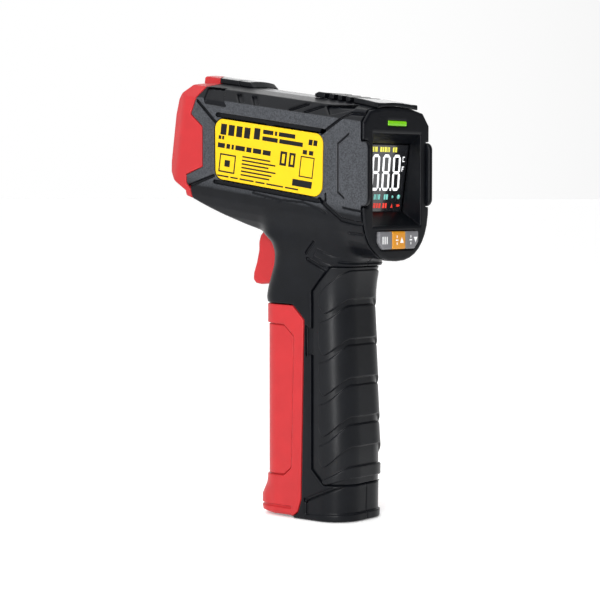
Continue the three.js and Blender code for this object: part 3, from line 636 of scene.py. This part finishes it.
def add_nose():
    grid = Grid((-19, -45, 100), (19, -24, 150), FINE)
    shape = smax(head(grid), polygon(NOSE_FACES, grid.v, grid.u), 0.6)
    shape = smax(shape, polygon(NOSE_PLAN, grid.x, grid.v), 0.5)
    block = smax(block_on_top(grid, 55.9, 40), ahead_of_arrow(grid), 0.1)
    hollow = np.maximum(head(grid, NOSE_WALL), polygon(NOSE_CORE, grid.v, grid.u))
    flare = np.maximum(0, -grid.v - 55.5) * 0.5
    rim = [(-11.5, 107.5), (11.5, 107.5), (11.5, 134.6), (-11.5, 134.6)]
    opening = np.maximum(along_barrel(rim, 5, grid) - flare, grid.v + 50)
    border = polygon(inset(NOSE_BORDER, 0.05), grid.y, grid.z)
    for cut in (hollow, opening):
        shape = smax(shape, -cut, 0.4)
    shape = smin(smax(shape, border, 0.35), np.maximum(block, 137.6 - grid.u), 0.15)
    make_piece("nose_shroud", shape, grid, "red", "red_plastic")


RIB_SLOTS = (-0.8, 2.95, 6.7, 10.4)
RIB_SLOT_HALF = 0.95
BROW_LOW, BROW_HALF, BROW_END = 132.6, 10.7, 44.6


def add_top_front_block():
    grid = Grid((-9, -36, 138), (9, -8, 149), FINE)
    lift = -along_barrel(HEAD_SECTION, 0.5, grid) + 0.05
    shape = smax(block_on_top(grid, 60, 32.5), lift, 0.05)
    shape = smax(shape, 0.12 - ahead_of_arrow(grid), 0.1)
    joint = polyline([(-41.2, 143), (-38.8, 138)], grid.v, grid.u) - 0.2
    shape = engrave(shape, joint, 0.4, 0.1)
    make_piece("top_front_block", shape, grid, "satin", "black_trim")


def add_top_rear_spine():
    """Rib block on a spine that widens towards the brow over the screen."""
    grid = Grid((-12, 12, 130), (12, 46, 143), FINE)
    outline = [(-6, 138), (44, 138), (44, 139.3), (14, 140.8), (-4.6, 141.1), (-6, 140.4)]
    half = np.interp(grid.y, [22, 36, 41], [7.5, 9.2, 10.7]).astype(np.float32)
    shape = smax(polygon(outline, grid.v, grid.u), np.abs(grid.x) - half, 0.5)
    slot_floor = np.where(np.abs(grid.x) < 4, 139.9, 137).astype(np.float32)
    for v in RIB_SLOTS:
        slot = np.maximum(np.abs(grid.v - v) - RIB_SLOT_HALF, slot_floor - grid.u)
        shape = smax(shape, -slot, 0.2)
    arch = BROW_LOW + 3.3 * np.sqrt(np.maximum(0, 1 - (grid.x / 10.9) ** 2))
    brow = smax(smax(grid.z - arch, BROW_LOW - grid.z, 0.3), slab(grid.y, 37.5, BROW_END), 0.5)
    brow = np.maximum(brow, np.abs(grid.x) - BROW_HALF)
    shape = smin(shape, brow, 1.0)
    lift = np.maximum(0.12 - along_barrel(HEAD_SECTION, 0.5, grid), grid.y - BEZEL_FACE - 0.15)
    shape = np.maximum(np.maximum(shape, lift), grid.y - BROW_END)
    make_piece("top_rear_spine", shape, grid, "satin", "black_trim")


# ---------------------------------------------------------------- grip sleeve

BANDS = [(67.7, 77.4), (54.2, 65.4), (41.0, 52.0), (27.6, 38.3), (17.4, 24.9)]
BAND_EDGE = 20.2
CORNER = (GRIP_HALF - 10, 20.4)     # centre of the grip's rounded rear corner
CORNER_TURN = 72                    # degrees over which the bands rise round that corner
BAND_RISE, RISE_GAIN, RISE_LEVEL = 5.2, 0.045, 65
BAND_FLOOR, SLEEVE_THICKNESS = 0.8, 1.2


def add_sleeve():
    grid = Grid((-15, 16, 10.5), (15, 32.5, 85), FINE)
    surface_distance = grip(grid)
    behind = np.maximum(grid.y - CORNER[1], 0)
    beside = np.maximum(np.abs(grid.x) - CORNER[0], 0.01)
    t = np.clip(np.degrees(np.arctan2(behind, beside)) / CORNER_TURN, 0, 1)
    rise = t * t * (3 - 2 * t)
    shape = surface_distance + BAND_FLOOR
    for low, high in BANDS:
        lift_low = rise * (BAND_RISE + (RISE_LEVEL - low) * RISE_GAIN)
        lift_high = rise * (BAND_RISE + (RISE_LEVEL - high) * RISE_GAIN)
        lower = low + lift_low - grid.z
        upper = grid.z - high - lift_high
        edge = BAND_EDGE - grid.y + np.clip(3.2 - (grid.z - low), 0, 3.2) * 0.55
        edge = edge + np.clip(grid.z - 74.2, 0, 5) * 0.95
        region = smax(smax(lower, upper, 0.5), edge, 1.0)
        tilt = np.clip((high + lift_high - grid.z) / (high - low), 0, 1)
        shape = emboss_to(shape, region, surface_distance + 0.2 * (1 - tilt))
    lip = smax(slab(grid.z, 12.0 + 2.4 * rise, 13.6 + 4.6 * rise), 21.8 - grid.y, 0.8)
    shape = emboss_to(shape, lip, surface_distance)
    inside = surface_distance + SLEEVE_THICKNESS
    border = rounded(inset(SLEEVE_BORDER, 0.02), 0.5, grid.y, grid.z)
    shape = smax(np.maximum(shape, -inside), border, 0.3)
    for y, z, half in SCREWS:
        hole = np.maximum(circle(grid, y, z) - 2.5, grid.x + half - 4)
        shape = smax(shape, -hole, 0.2)
    make_piece("grip_sleeve", shape, grid, "rubber", "grip_rubber")


# ---------------------------------------------------------------- battery door

PANEL = [(-9, 13.9), (5.6, 13.9), (8.8, 16.6), (9.9, 60.2), (5.6, 63.9), (-9, 64.3)]
DOOR_WALL = 1.8
FOOT_LEVELS = [0.3, 3, 6.4, 10.8, 13.2]
FOOT_PROUD = [2.2, 2.7, 2.7, 0.5, 0]        # how far the door's foot stands out at those levels
FOOT_RADIUS, FOOT_REAR = 7, 2.3


def door_outside(grid):
    """Front of the handle with the foot that stands out, its two ribs and the framed panel."""
    proud = np.interp(grid.z, FOOT_LEVELS, FOOT_PROUD).astype(np.float32)
    beside = np.maximum(np.abs(grid.x) - 6.2, 0)
    corner = np.sqrt(beside ** 2 + np.minimum(grid.y + proud - FOOT_REAR, 0) ** 2) - FOOT_RADIUS
    bump = np.maximum(np.maximum(corner, slab(grid.z, FOOT_LEVELS[0], FOOT_LEVELS[-1])), grid.y - FOOT_REAR)
    shape = smin(grip(grid), bump, 0.5)
    for z in (0.9, 3.4):
        shape = engrave(shape, np.maximum(np.abs(grid.z - z) - 0.38, grid.y - 9), 0.6, 0.2)
    panel = rounded(PANEL, 1.4, grid.y, grid.z)
    shape = engrave(shape, panel, 0.45, 0.2)
    shape = engrave(shape, np.abs(panel) - 0.2, 0.65, 0.12)
    border = rounded(inset(DOOR_BORDER, 0.03), 1.0, grid.y, grid.z)
    return smax(shape, border, 0.5)


def door_inside(grid):
    """Hollow of the door, opened at its foot and its top and round the arms that carry the pin."""
    y, z = DOOR_PIVOT
    openings = [
        box_field(grid, -9.6, 9.6, -2.9, 30, -2, 5),
        box_field(grid, -11.7, 11.7, 3.5, 30, -2, 5),
        box_field(grid, -9.6, 9.6, -2.9, 20, 60, 69.1),
        np.maximum(circle(grid, y, z) - 2.4, np.abs(grid.x) - 6.6),
        box_field(grid, -6.6, 6.6, y - 1, 0.1, -1, 9.4),
    ]
    inside = grip(grid, DOOR_WALL)
    for opening in openings:
        inside = np.minimum(inside, opening)
    return inside


def add_door():
    grid = Grid((-15, -9, -1), (15, 16, 73), VOXEL * 0.9)
    y, z = DOOR_PIVOT
    foot = np.maximum(np.maximum(grid.y - y, grid.z - z), 6.35 - circle(grid, y, z))
    shape = smax(np.maximum(door_outside(grid), -door_inside(grid)), -foot, 0.6)
    arm = np.maximum(slab(grid.y, -6, y), slab(grid.z, z - 2.1, z + 2.1))
    ear = np.maximum(np.minimum(circle(grid, y, z) - 2.1, arm), slab(np.abs(grid.x), 6.9, 9.2))
    bore = np.minimum(PIN_BORE - circle(grid, y, z), 9.6 - np.abs(grid.x))
    shape = np.maximum(np.minimum(shape, ear), bore)
    make_piece("battery_door", shape, grid, "red", "red_plastic", "door_body")


# ---------------------------------------------------------------- trigger

TRIGGER_PAD = [
    (-9.3, 95), (-11.1, 93), (-11.8, 90.7), (-11.8, 88), (-12.8, 83.9), (-14.1, 80.4), (-14.3, 78),
    (-13.1, 76.7), (-10.9, 76.4), (-2.4, 77.4), (0, 84), (2.4, 88.2), (2.4, 92.6), (-1.4, 97), (-6, 97),
]
TRIGGER_HOLLOW = [
    (-9.4, 91), (-9.8, 86), (-10.6, 82.4), (-11.4, 79.9), (2, 79.9), (2, 87), (-5.4, 87), (-6.2, 91),
]
TRIGGER_HALF = 6


def add_trigger():
    grid = Grid((-8, -15.5, 75.5), (8, 6, 98.5), FINE)
    pad = polygon(TRIGGER_PAD, grid.y, grid.z)
    shape = smax(pad, np.abs(grid.x) - TRIGGER_HALF, 1.4)
    hollow = np.maximum(polygon(TRIGGER_HOLLOW, grid.y, grid.z), np.abs(grid.x) - 4.4)
    y, z = TRIGGER_PIVOT
    boss = smax(circle(grid, y, z) - 2.4, np.abs(grid.x) - TRIGGER_HALF, 0.3)
    pusher = box_field(grid, -1.6, 1.6, -4, 0.6, 77.7, 79.5, 0.2)
    shape = np.minimum(np.minimum(smax(shape, -hollow, 0.2), boss), pusher)
    shape = np.maximum(shape, PIN_BORE - circle(grid, y, z))
    make_piece("trigger", shape, grid, "red", "red_plastic", "trigger_body")


# ---------------------------------------------------------------- rear frame and keys

KEY_LOW, KEY_HIGH, KEY_FACE = 89.2, 94.9, 43.1
OPENING_HALF = 12.9
KEY_ROW = [
    (-8.5, KEY_LOW), (8.5, KEY_LOW), (10.65, 91.4), (10.65, KEY_HIGH), (-10.65, KEY_HIGH), (-10.65, 91.4),
]
KEY_PITCH, KEY_HALF, STEM_HALF = 7.2, 3.52, 1.45


def add_bezel():
    grid = Grid((-19, 32, 83), (19, 43.5, 137), VOXEL * 0.85)
    rim = smax(head(grid, 0.12, 50), slab(grid.y, HOUSING_END + 0.15, BEZEL_FACE), 0.9)
    plug = np.maximum(head(grid, WALL + 0.3, 50), slab(grid.y, 38.4, HOUSING_END + 0.6))
    notch = np.maximum(15.6 - np.abs(grid.x), slab(grid.z, 102.7, 123.8))
    shape = smax(np.minimum(rim, plug), -notch, 0.4)
    funnel = box_field(grid, -14, 14, 33.4, HOUSING_END + 0.6, 96.4, 128, 0.5)
    shape = np.minimum(shape, funnel)
    low = 101.5 - 0.62 * (grid.y - 34.1) - grid.z
    high = grid.z - 122.8 - 0.72 * (grid.y - 37.3)
    side = np.abs(grid.x) - OPENING_HALF
    shape = smax(shape, -np.maximum(np.maximum(low, high), side), 0.45)
    shape = smax(shape, -np.maximum(grid.v - 19.7, slab(grid.u, 98, 133)), 0.1)
    keys = rounded(inset(KEY_ROW, -0.2), 0.4, grid.x, grid.z)
    light = np.maximum(np.abs(grid.x) - 5.0, slab(grid.z, 128.6, 130.4))
    for cut in (keys, light):
        shape = smax(shape, -cut, 0.25)
    make_piece("rear_bezel", shape, grid, "satin", "black_trim")


def add_status_light():
    grid = Grid((-6, 37.5, 127.5), (6, 43.6, 131.6), FINE)
    shape = box_field(grid, -4.9, 4.9, 38.6, 42.4, 128.7, 130.3, 0.2)
    make_piece("status_light", shape, grid, "green", "green_light")


def add_keys():
    looks = {"key_left": "grey_key", "key_middle": "orange_key", "key_right": "grey_key"}
    for (name, look), place_in_row in zip(looks.items(), (1, 0, -1)):
        centre = place_in_row * KEY_PITCH
        grid = Grid((centre - 4.2, 36, 88.4), (centre + 4.2, 44, 95.7), FINE)
        outline = rounded(KEY_ROW, 0.3, grid.x, grid.z)
        cap = smax(smax(outline, np.abs(grid.x - centre) - KEY_HALF, 0.25), slab(grid.y, 38.4, KEY_FACE), 0.5)
        stem = box_field(grid, centre - STEM_HALF, centre + STEM_HALF, 36.9, 39.4, KEY_LOW + 1.6,
                         KEY_HIGH - 1.6, 0.2)
        make_piece(name, np.minimum(cap, stem), grid, look, look, name + "_body")


# ---------------------------------------------------------------- prints and screen

PRINT_HEIGHT = 0.03


def plates(name, outlines, at, thickness, look, slot, body_name="body"):
    """Flat shapes given as outlines; at(a, b, height) gives a point in design millimetres."""
    points, faces = [], []
    for outline in outlines:
        count = len(outline)
        first = len(points)
        points += [at(a, b, 0.0) for a, b in outline] + [at(a, b, thickness) for a, b in outline]
        faces.append(tuple(first + i for i in reversed(range(count))))
        faces.append(tuple(first + count + i for i in range(count)))
        for i in range(count):
            j = (i + 1) % count
            faces.append((first + i, first + j, first + count + j, first + count + i))
    piece = new_object(name, place(points), faces, smooth=False)
    face_outwards(piece)
    finish_piece(piece, look, slot, body_name)


def face_outwards(piece):
    bm = bmesh.new()
    bm.from_mesh(piece.data)
    bmesh.ops.recalc_face_normals(bm, faces=bm.faces)
    bm.to_mesh(piece.data)
    bm.free()


def on_side(sign):
    """Points of the label plane: a forward along the barrel, b up, thickness outwards."""
    def at(a, b, height):
        y, z = -a * COS + b * SIN, a * SIN + b * COS
        return (sign * (HALF_WIDTH - 0.2 + height), y, z)
    return at


def bar(a0, a1, b0, b1):
    return [(a0, b0), (a1, b0), (a1, b1), (a0, b1)]


def add_labels():
    for name, sign in (("label_left", 1), ("label_right", -1)):
        low_x, high_x = sorted((sign * (HALF_WIDTH - 1.1), sign * (HALF_WIDTH + 0.3)))
        grid = Grid((low_x, -23, 104), (high_x, 28, 134.5), FINE)
        outline = rounded(LABEL, 3.4, grid.y, grid.z)
        shape = smax(outline, slab(np.abs(grid.x), HALF_WIDTH - 0.6, HALF_WIDTH - 0.2), 0.08)
        make_piece(name, shape, grid, "label", "label_film")
        plates("print_" + name, label_print(), on_side(sign), PRINT_HEIGHT, "ink", "label_film")


def row_of_bars(start, lengths, b0, b1, gap=0.7):
    """Bars of the given lengths, one after the other towards the rear."""
    marks = []
    for length in lengths:
        marks.append(bar(start - length, start, b0, b1))
        start -= length + gap
    return marks


def hollow_square(a0, a1, b0, b1, width):
    low, high = b0 + width, b1 - width
    return [bar(a0, a1, b0, low), bar(a0, a1, high, b1), bar(a0, a0 + width, low, high),
            bar(a1 - width, a1, low, high)]


def label_print():
    """Rows of plain bars and squares in place of lettering and signs."""
    marks = row_of_bars(36.2, (2.6, 2.6, 2.6, 2.6), 123.0, 126.6, 0.9)
    marks += row_of_bars(21.4, (2.6,), 123.2, 126.9)
    marks += row_of_bars(17.6, (4.4, 1.0, 7.0), 125.4, 126.8)
    marks += row_of_bars(17.6, (6.6, 10.0), 123.2, 124.6)
    marks += row_of_bars(-2.0, (1.6, 1.6), 124.2, 126.0, 0.4)
    marks += row_of_bars(36.8, (1.2, 0.9), 121.4, 122.6, 0.4)
    marks += row_of_bars(36.8, (3.2, 1.6, 1.0, 4.2, 2.2, 3.6, 3.4), 118.6, 120.2)
    for i, length in enumerate((12.2, 14.6, 11.8, 15.0, 13.4, 12.6)):
        marks.append(bar(25.4 - length, 25.4, 116.6 - i * 1.2, 117.1 - i * 1.2))
    marks += hollow_square(28.2, 35.4, 110.6, 116.8, 0.5) + [bar(30.6, 33.0, 112.6, 114.8)]
    marks += hollow_square(6.4, 9.2, 116.2, 120.8, 0.8) + hollow_square(2.8, 5.4, 116.2, 120.8, 0.8)
    marks += hollow_square(-5.2, 0.6, 113.6, 120.4, 0.4) + row_of_bars(0.0, (1.8, 1.8), 121.0, 122.4, 0.8)
    marks.append(bar(-5.2, 3.0, 110.4, 112.6))
    return marks + row_of_bars(35.6, (5.0, 3.4, 6.2, 4.0, 7.2, 5.6), 109.1, 109.6, 0.8)


SCREEN_V = 19.4
MARK_HEIGHT = 0.04      # thickness of the lit marks on the screen


def on_screen(a, b, height):
    """Points of the screen: a to the right, b up the window."""
    v = SCREEN_V + height
    return (-a, v * COS + b * SIN, -v * SIN + b * COS)


def lean(outline, amount=-0.09):
    return [(a + (b - 115) * amount, b) for a, b in outline]


def segment(a0, b0, a1, b1, width):
    """A pointed bar from one end to the other."""
    length = math.hypot(a1 - a0, b1 - b0)
    dx, dy = (a1 - a0) / length, (b1 - b0) / length
    h = width / 2
    along = [(0.0, 0.0), (h, -h), (length - h, -h), (length, 0.0), (length - h, h), (h, h)]
    return [(a0 + s * dx - t * dy, b0 + s * dy + t * dx) for s, t in along]


def digit(a, b, width, height):
    """The seven bars of a digit."""
    gap, stroke = 0.12, 0.95
    middle, top, right = b + height / 2, b + height, a + width
    ends = [(a + gap, level, right - gap, level) for level in (b, middle, top)]
    ends += [(side, low + gap, side, low + height / 2 - gap) for side in (a, right) for low in (b, middle)]
    return [lean(segment(*end, stroke)) for end in ends]


def add_window():
    grid = Grid((-14, 31, 99), (14, 39, 125), FINE)
    outline = np.maximum(np.abs(grid.x) - 13.2, slab(grid.u, 103.2, 127))
    shape = smax(slab(grid.v, SCREEN_V - 1, SCREEN_V), outline, 0.1)
    make_piece("display_window", shape, grid, "screen", "window")


def bars(spans, b0, b1):
    """Bars of one row, each given as its start and its width."""
    return [bar(a, a + width, b0, b1) for a, width in spans]


def add_screen_marks():
    digits = [s for a in (-4.7, 0.9, 6.5) for s in digit(a, 112.35, 3.1, 10.9)]
    digits += [lean(bar(a, a + 0.8, 111.9, 112.8)) for a in (-0.6, 5.0)]
    digits += [bar(10.5, 10.8, 121.4, 123.1), bar(10.8, 11.6, 122.8, 123.1), bar(10.8, 11.6, 121.4, 121.7)]
    digits += [bar(10.6, 10.9, 118.2, 119.9), bar(10.9, 11.7, 119.6, 119.9), bar(10.9, 11.5, 118.9, 119.2)]
    top = bars([(-7.2, 1.2), (-5.4, 0.8), (-4.2, 1.4), (-1.3, 0.9), (-0.1, 0.7), (1.0, 1.1), (2.5, 0.5),
                (3.3, 0.5), (5.5, 0.8), (6.7, 1.0)], 124.5, 126.1)
    low = bars([(-2.8, 1.1), (-1.3, 0.35), (-0.6, 1.1), (2.6, 0.8), (3.8, 0.9)], 109.0, 110.7)
    low += [circle_outline(7.3, 109.9, 0.45), circle_outline(10.6, 109.9, 0.75)]
    red = bars([(-2.6, 1.2), (-1.1, 0.9), (0.2, 1.1), (2.4, 0.9), (3.7, 0.9)], 106.2, 107.8)
    red += [bar(10.0, 11.4, 106.6, 107.4), bar(11.5, 11.8, 106.8, 107.2)]
    red.append([(6.8, 106.3), (8.0, 106.3), (7.4, 107.6)])
    rows = [
        ("screen_digits", digits, "white_segments"),
        ("screen_top_row", [lean(mark) for mark in top], "yellow_segments"),
        ("screen_low_row", low, "teal_segments"),
        ("screen_red_row", red, "red_segments"),
    ]
    for name, marks, look in rows:
        plates(name, marks, on_screen, MARK_HEIGHT, look, "display")


def circle_outline(a, b, radius, count=20):
    return [(a + radius * math.cos(2 * math.pi * i / count), b + radius * math.sin(2 * math.pi * i / count))
            for i in range(count)]


def on_keys(a, b, height):
    return (-a, KEY_FACE + height, b)


def add_key_prints():
    left = bars([(-9.0, 0.5), (-7.9, 0.5), (-6.8, 0.5)], 90.9, 93.3)
    middle = three_bars(-1.9) + [[(0.4, 91.2), (2.4, 91.2), (1.4, 93.0)]]
    right = three_bars(5.6) + [[(7.9, 93.0), (8.9, 91.2), (9.9, 93.0)]]
    for name, marks in (("key_left", left), ("key_middle", middle), ("key_right", right)):
        plates("print_" + name, marks, on_keys, PRINT_HEIGHT, "icon", "grey_key", name + "_body")


def three_bars(a):
    """A long bar with a short one over it and under it."""
    return [bar(a, a + 1.4, 91.9, 92.3), bar(a + 0.5, a + 0.9, 90.6, 91.4), bar(a + 0.5, a + 0.9, 92.8, 93.6)]


# ---------------------------------------------------------------- screws and carried-over parts


SCREW_HEAD, SCREW_HEAD_HEIGHT, SCREW_SHAFT, SCREW_END = 2.1, 1.7, 1.1, 6
DRIVE_HALF, DRIVE_REACH, DRIVE_FLOOR = 0.3, 1.2, 0.8


def add_screws():
    for i, (y, z, half) in enumerate(SCREWS):
        start = -half + SCREW_SINK - 0.3
        grid = Grid((start - 2.2, y - 2.6, z - 2.6), (6.6, y + 2.6, z + 2.6), FINE * 0.75)
        radius = circle(grid, y, z)
        head_shape = smax(radius - SCREW_HEAD, slab(grid.x, start - SCREW_HEAD_HEIGHT, start), 0.35)
        away_y, away_z = np.abs(grid.y - y), np.abs(grid.z - z)
        drive = np.minimum(np.maximum(away_y - DRIVE_HALF, away_z - DRIVE_REACH),
                           np.maximum(away_z - DRIVE_HALF, away_y - DRIVE_REACH))
        head_shape = smax(head_shape, -np.maximum(drive, grid.x - start + DRIVE_FLOOR), 0.1)
        shaft = np.maximum(radius - SCREW_SHAFT, slab(grid.x, start - 0.5, SCREW_END))
        make_piece(f"housing_screw_{i + 1}", np.minimum(head_shape, shaft), grid, "dark_steel", "steel")


CARRIED = {
    "membrane": ["keypad_membrane"],
    "part": ["display_module", "buzzer", "nose_plate", "optics_tube", "trigger_switch", "battery_tray"],
    "board": ["main_board", "sensor_board", "switch_board"],
    "lens": ["ir_lens"],
    "steel": ["ir_sensor", "trigger_pin", "trigger_spring", "door_pin", "contact_spring_left",
        "contact_spring_right", "contact_plate_bottom", "contact_plate_top"],
    "brass": ["laser_module"],
    "laser": ["laser_lens"],
    "cell": ["battery_left", "battery_right"],
    "red_wire": ["battery_lead_red"],
    "black_wire": ["battery_lead_black"],
}


def dress_carried_nodes():
    for look, names in CARRIED.items():
        for name in names:
            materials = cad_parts[name].data.materials
            for i in range(len(materials)):
                materials[i] = M[look]


# ---------------------------------------------------------------- stage

CAMERA_AT = Vector((0.4728645, 0.3892574, 0.1065602))
CAMERA_AZIMUTH, CAMERA_ELEVATION = math.radians(129.4), math.radians(3.3)
CAMERA_LENS = 109.2


def add_camera():
    camera = bpy.data.objects.new("camera", bpy.data.cameras.new("camera"))
    camera.data.lens = CAMERA_LENS
    camera.data.sensor_width = 36
    camera.data.clip_start = 0.02
    level, drop = math.cos(CAMERA_ELEVATION), math.sin(CAMERA_ELEVATION)
    ahead = Vector((-math.sin(CAMERA_AZIMUTH) * level, math.cos(CAMERA_AZIMUTH) * level, -drop))
    camera.location = CAMERA_AT
    camera.rotation_euler = ahead.to_track_quat("-Z", "Y").to_euler()
    bpy.context.scene.collection.objects.link(camera)
    bpy.context.scene.camera = camera


def add_light(name, at, size, power, aim=(0, 0, 0.09)):
    light = bpy.data.lights.new(name, "AREA")
    light.shape = "RECTANGLE"
    light.size, light.size_y = size
    light.energy = power
    made = bpy.data.objects.new(name, light)
    made.location = at
    made.rotation_euler = (Vector(aim) - Vector(at)).to_track_quat("-Z", "Y").to_euler()
    bpy.context.scene.collection.objects.link(made)


DARK_SIDE = (-0.42, 0.90, 0.1)      # the studio is darker in this direction
FALLOFF_FROM, FALLOFF_TO = -0.25, 0.75
BRIGHT, DIM = 1.0, 0.16


def studio_world():
    """A white studio whose brightness falls off towards one side."""
    world = bpy.data.worlds.new("studio")
    world.use_nodes = True
    nodes, links = world.node_tree.nodes, world.node_tree.links
    coordinates = nodes.new("ShaderNodeTexCoord")
    facing = nodes.new("ShaderNodeVectorMath")
    facing.operation = "DOT_PRODUCT"
    facing.inputs[1].default_value = DARK_SIDE
    falloff = nodes.new("ShaderNodeMapRange")
    falloff.interpolation_type = "SMOOTHSTEP"
    falloff.inputs["From Min"].default_value = FALLOFF_FROM
    falloff.inputs["From Max"].default_value = FALLOFF_TO
    falloff.inputs["To Min"].default_value = BRIGHT
    falloff.inputs["To Max"].default_value = DIM
    links.new(coordinates.outputs["Generated"], facing.inputs[0])
    links.new(facing.outputs["Value"], falloff.inputs["Value"])
    links.new(falloff.outputs["Result"], nodes["Background"].inputs["Strength"])
    nodes["Background"].inputs["Color"].default_value = (1, 1, 1, 1)
    bpy.context.scene.world = world
    bpy.context.scene.view_settings.view_transform = "Standard"


def add_sky_panel():
    """Broad weak light from straight above."""
    sky = bpy.data.lights.new("sky_panel", "SUN")
    sky.energy = 0.5
    sky.angle = math.radians(70)
    bpy.context.scene.collection.objects.link(bpy.data.objects.new("sky_panel", sky))


FLOOR_REACH, FLOOR_DROP = 40, 0.0002


def add_stage():
    reach = FLOOR_REACH
    corners = [(-reach, -reach, 0), (reach, -reach, 0), (reach, reach, 0), (-reach, reach, 0)]
    floor = new_object("floor", corners, [(0, 1, 2, 3)], smooth=False)
    floor.data.materials.append(M["floor"])
    floor.location.z = -FLOOR_DROP
    studio_world()
    add_light("key_light", (0.62, 0.15, 0.50), (0.35, 0.35), 1.9)
    add_light("top_light", (-0.1, 0.1, 0.9), (0.8, 0.8), 2.0)
    add_sky_panel()
    add_light("strip_light", (0.66, 0.40, 0.16), (0.05, 0.55), 4.0)
    add_light("rim_light", (-0.93, -0.71, 0.42), (0.9, 0.4), 2.2, (0, 0, 0.14))


add_camera()
add_stage()
add_housings()
add_nose()
add_top_front_block()
add_top_rear_spine()
add_sleeve()
add_door()
add_trigger()
add_bezel()
add_status_light()
add_keys()
add_labels()
add_window()
add_screen_marks()
add_key_prints()
add_screws()
dress_carried_nodes()
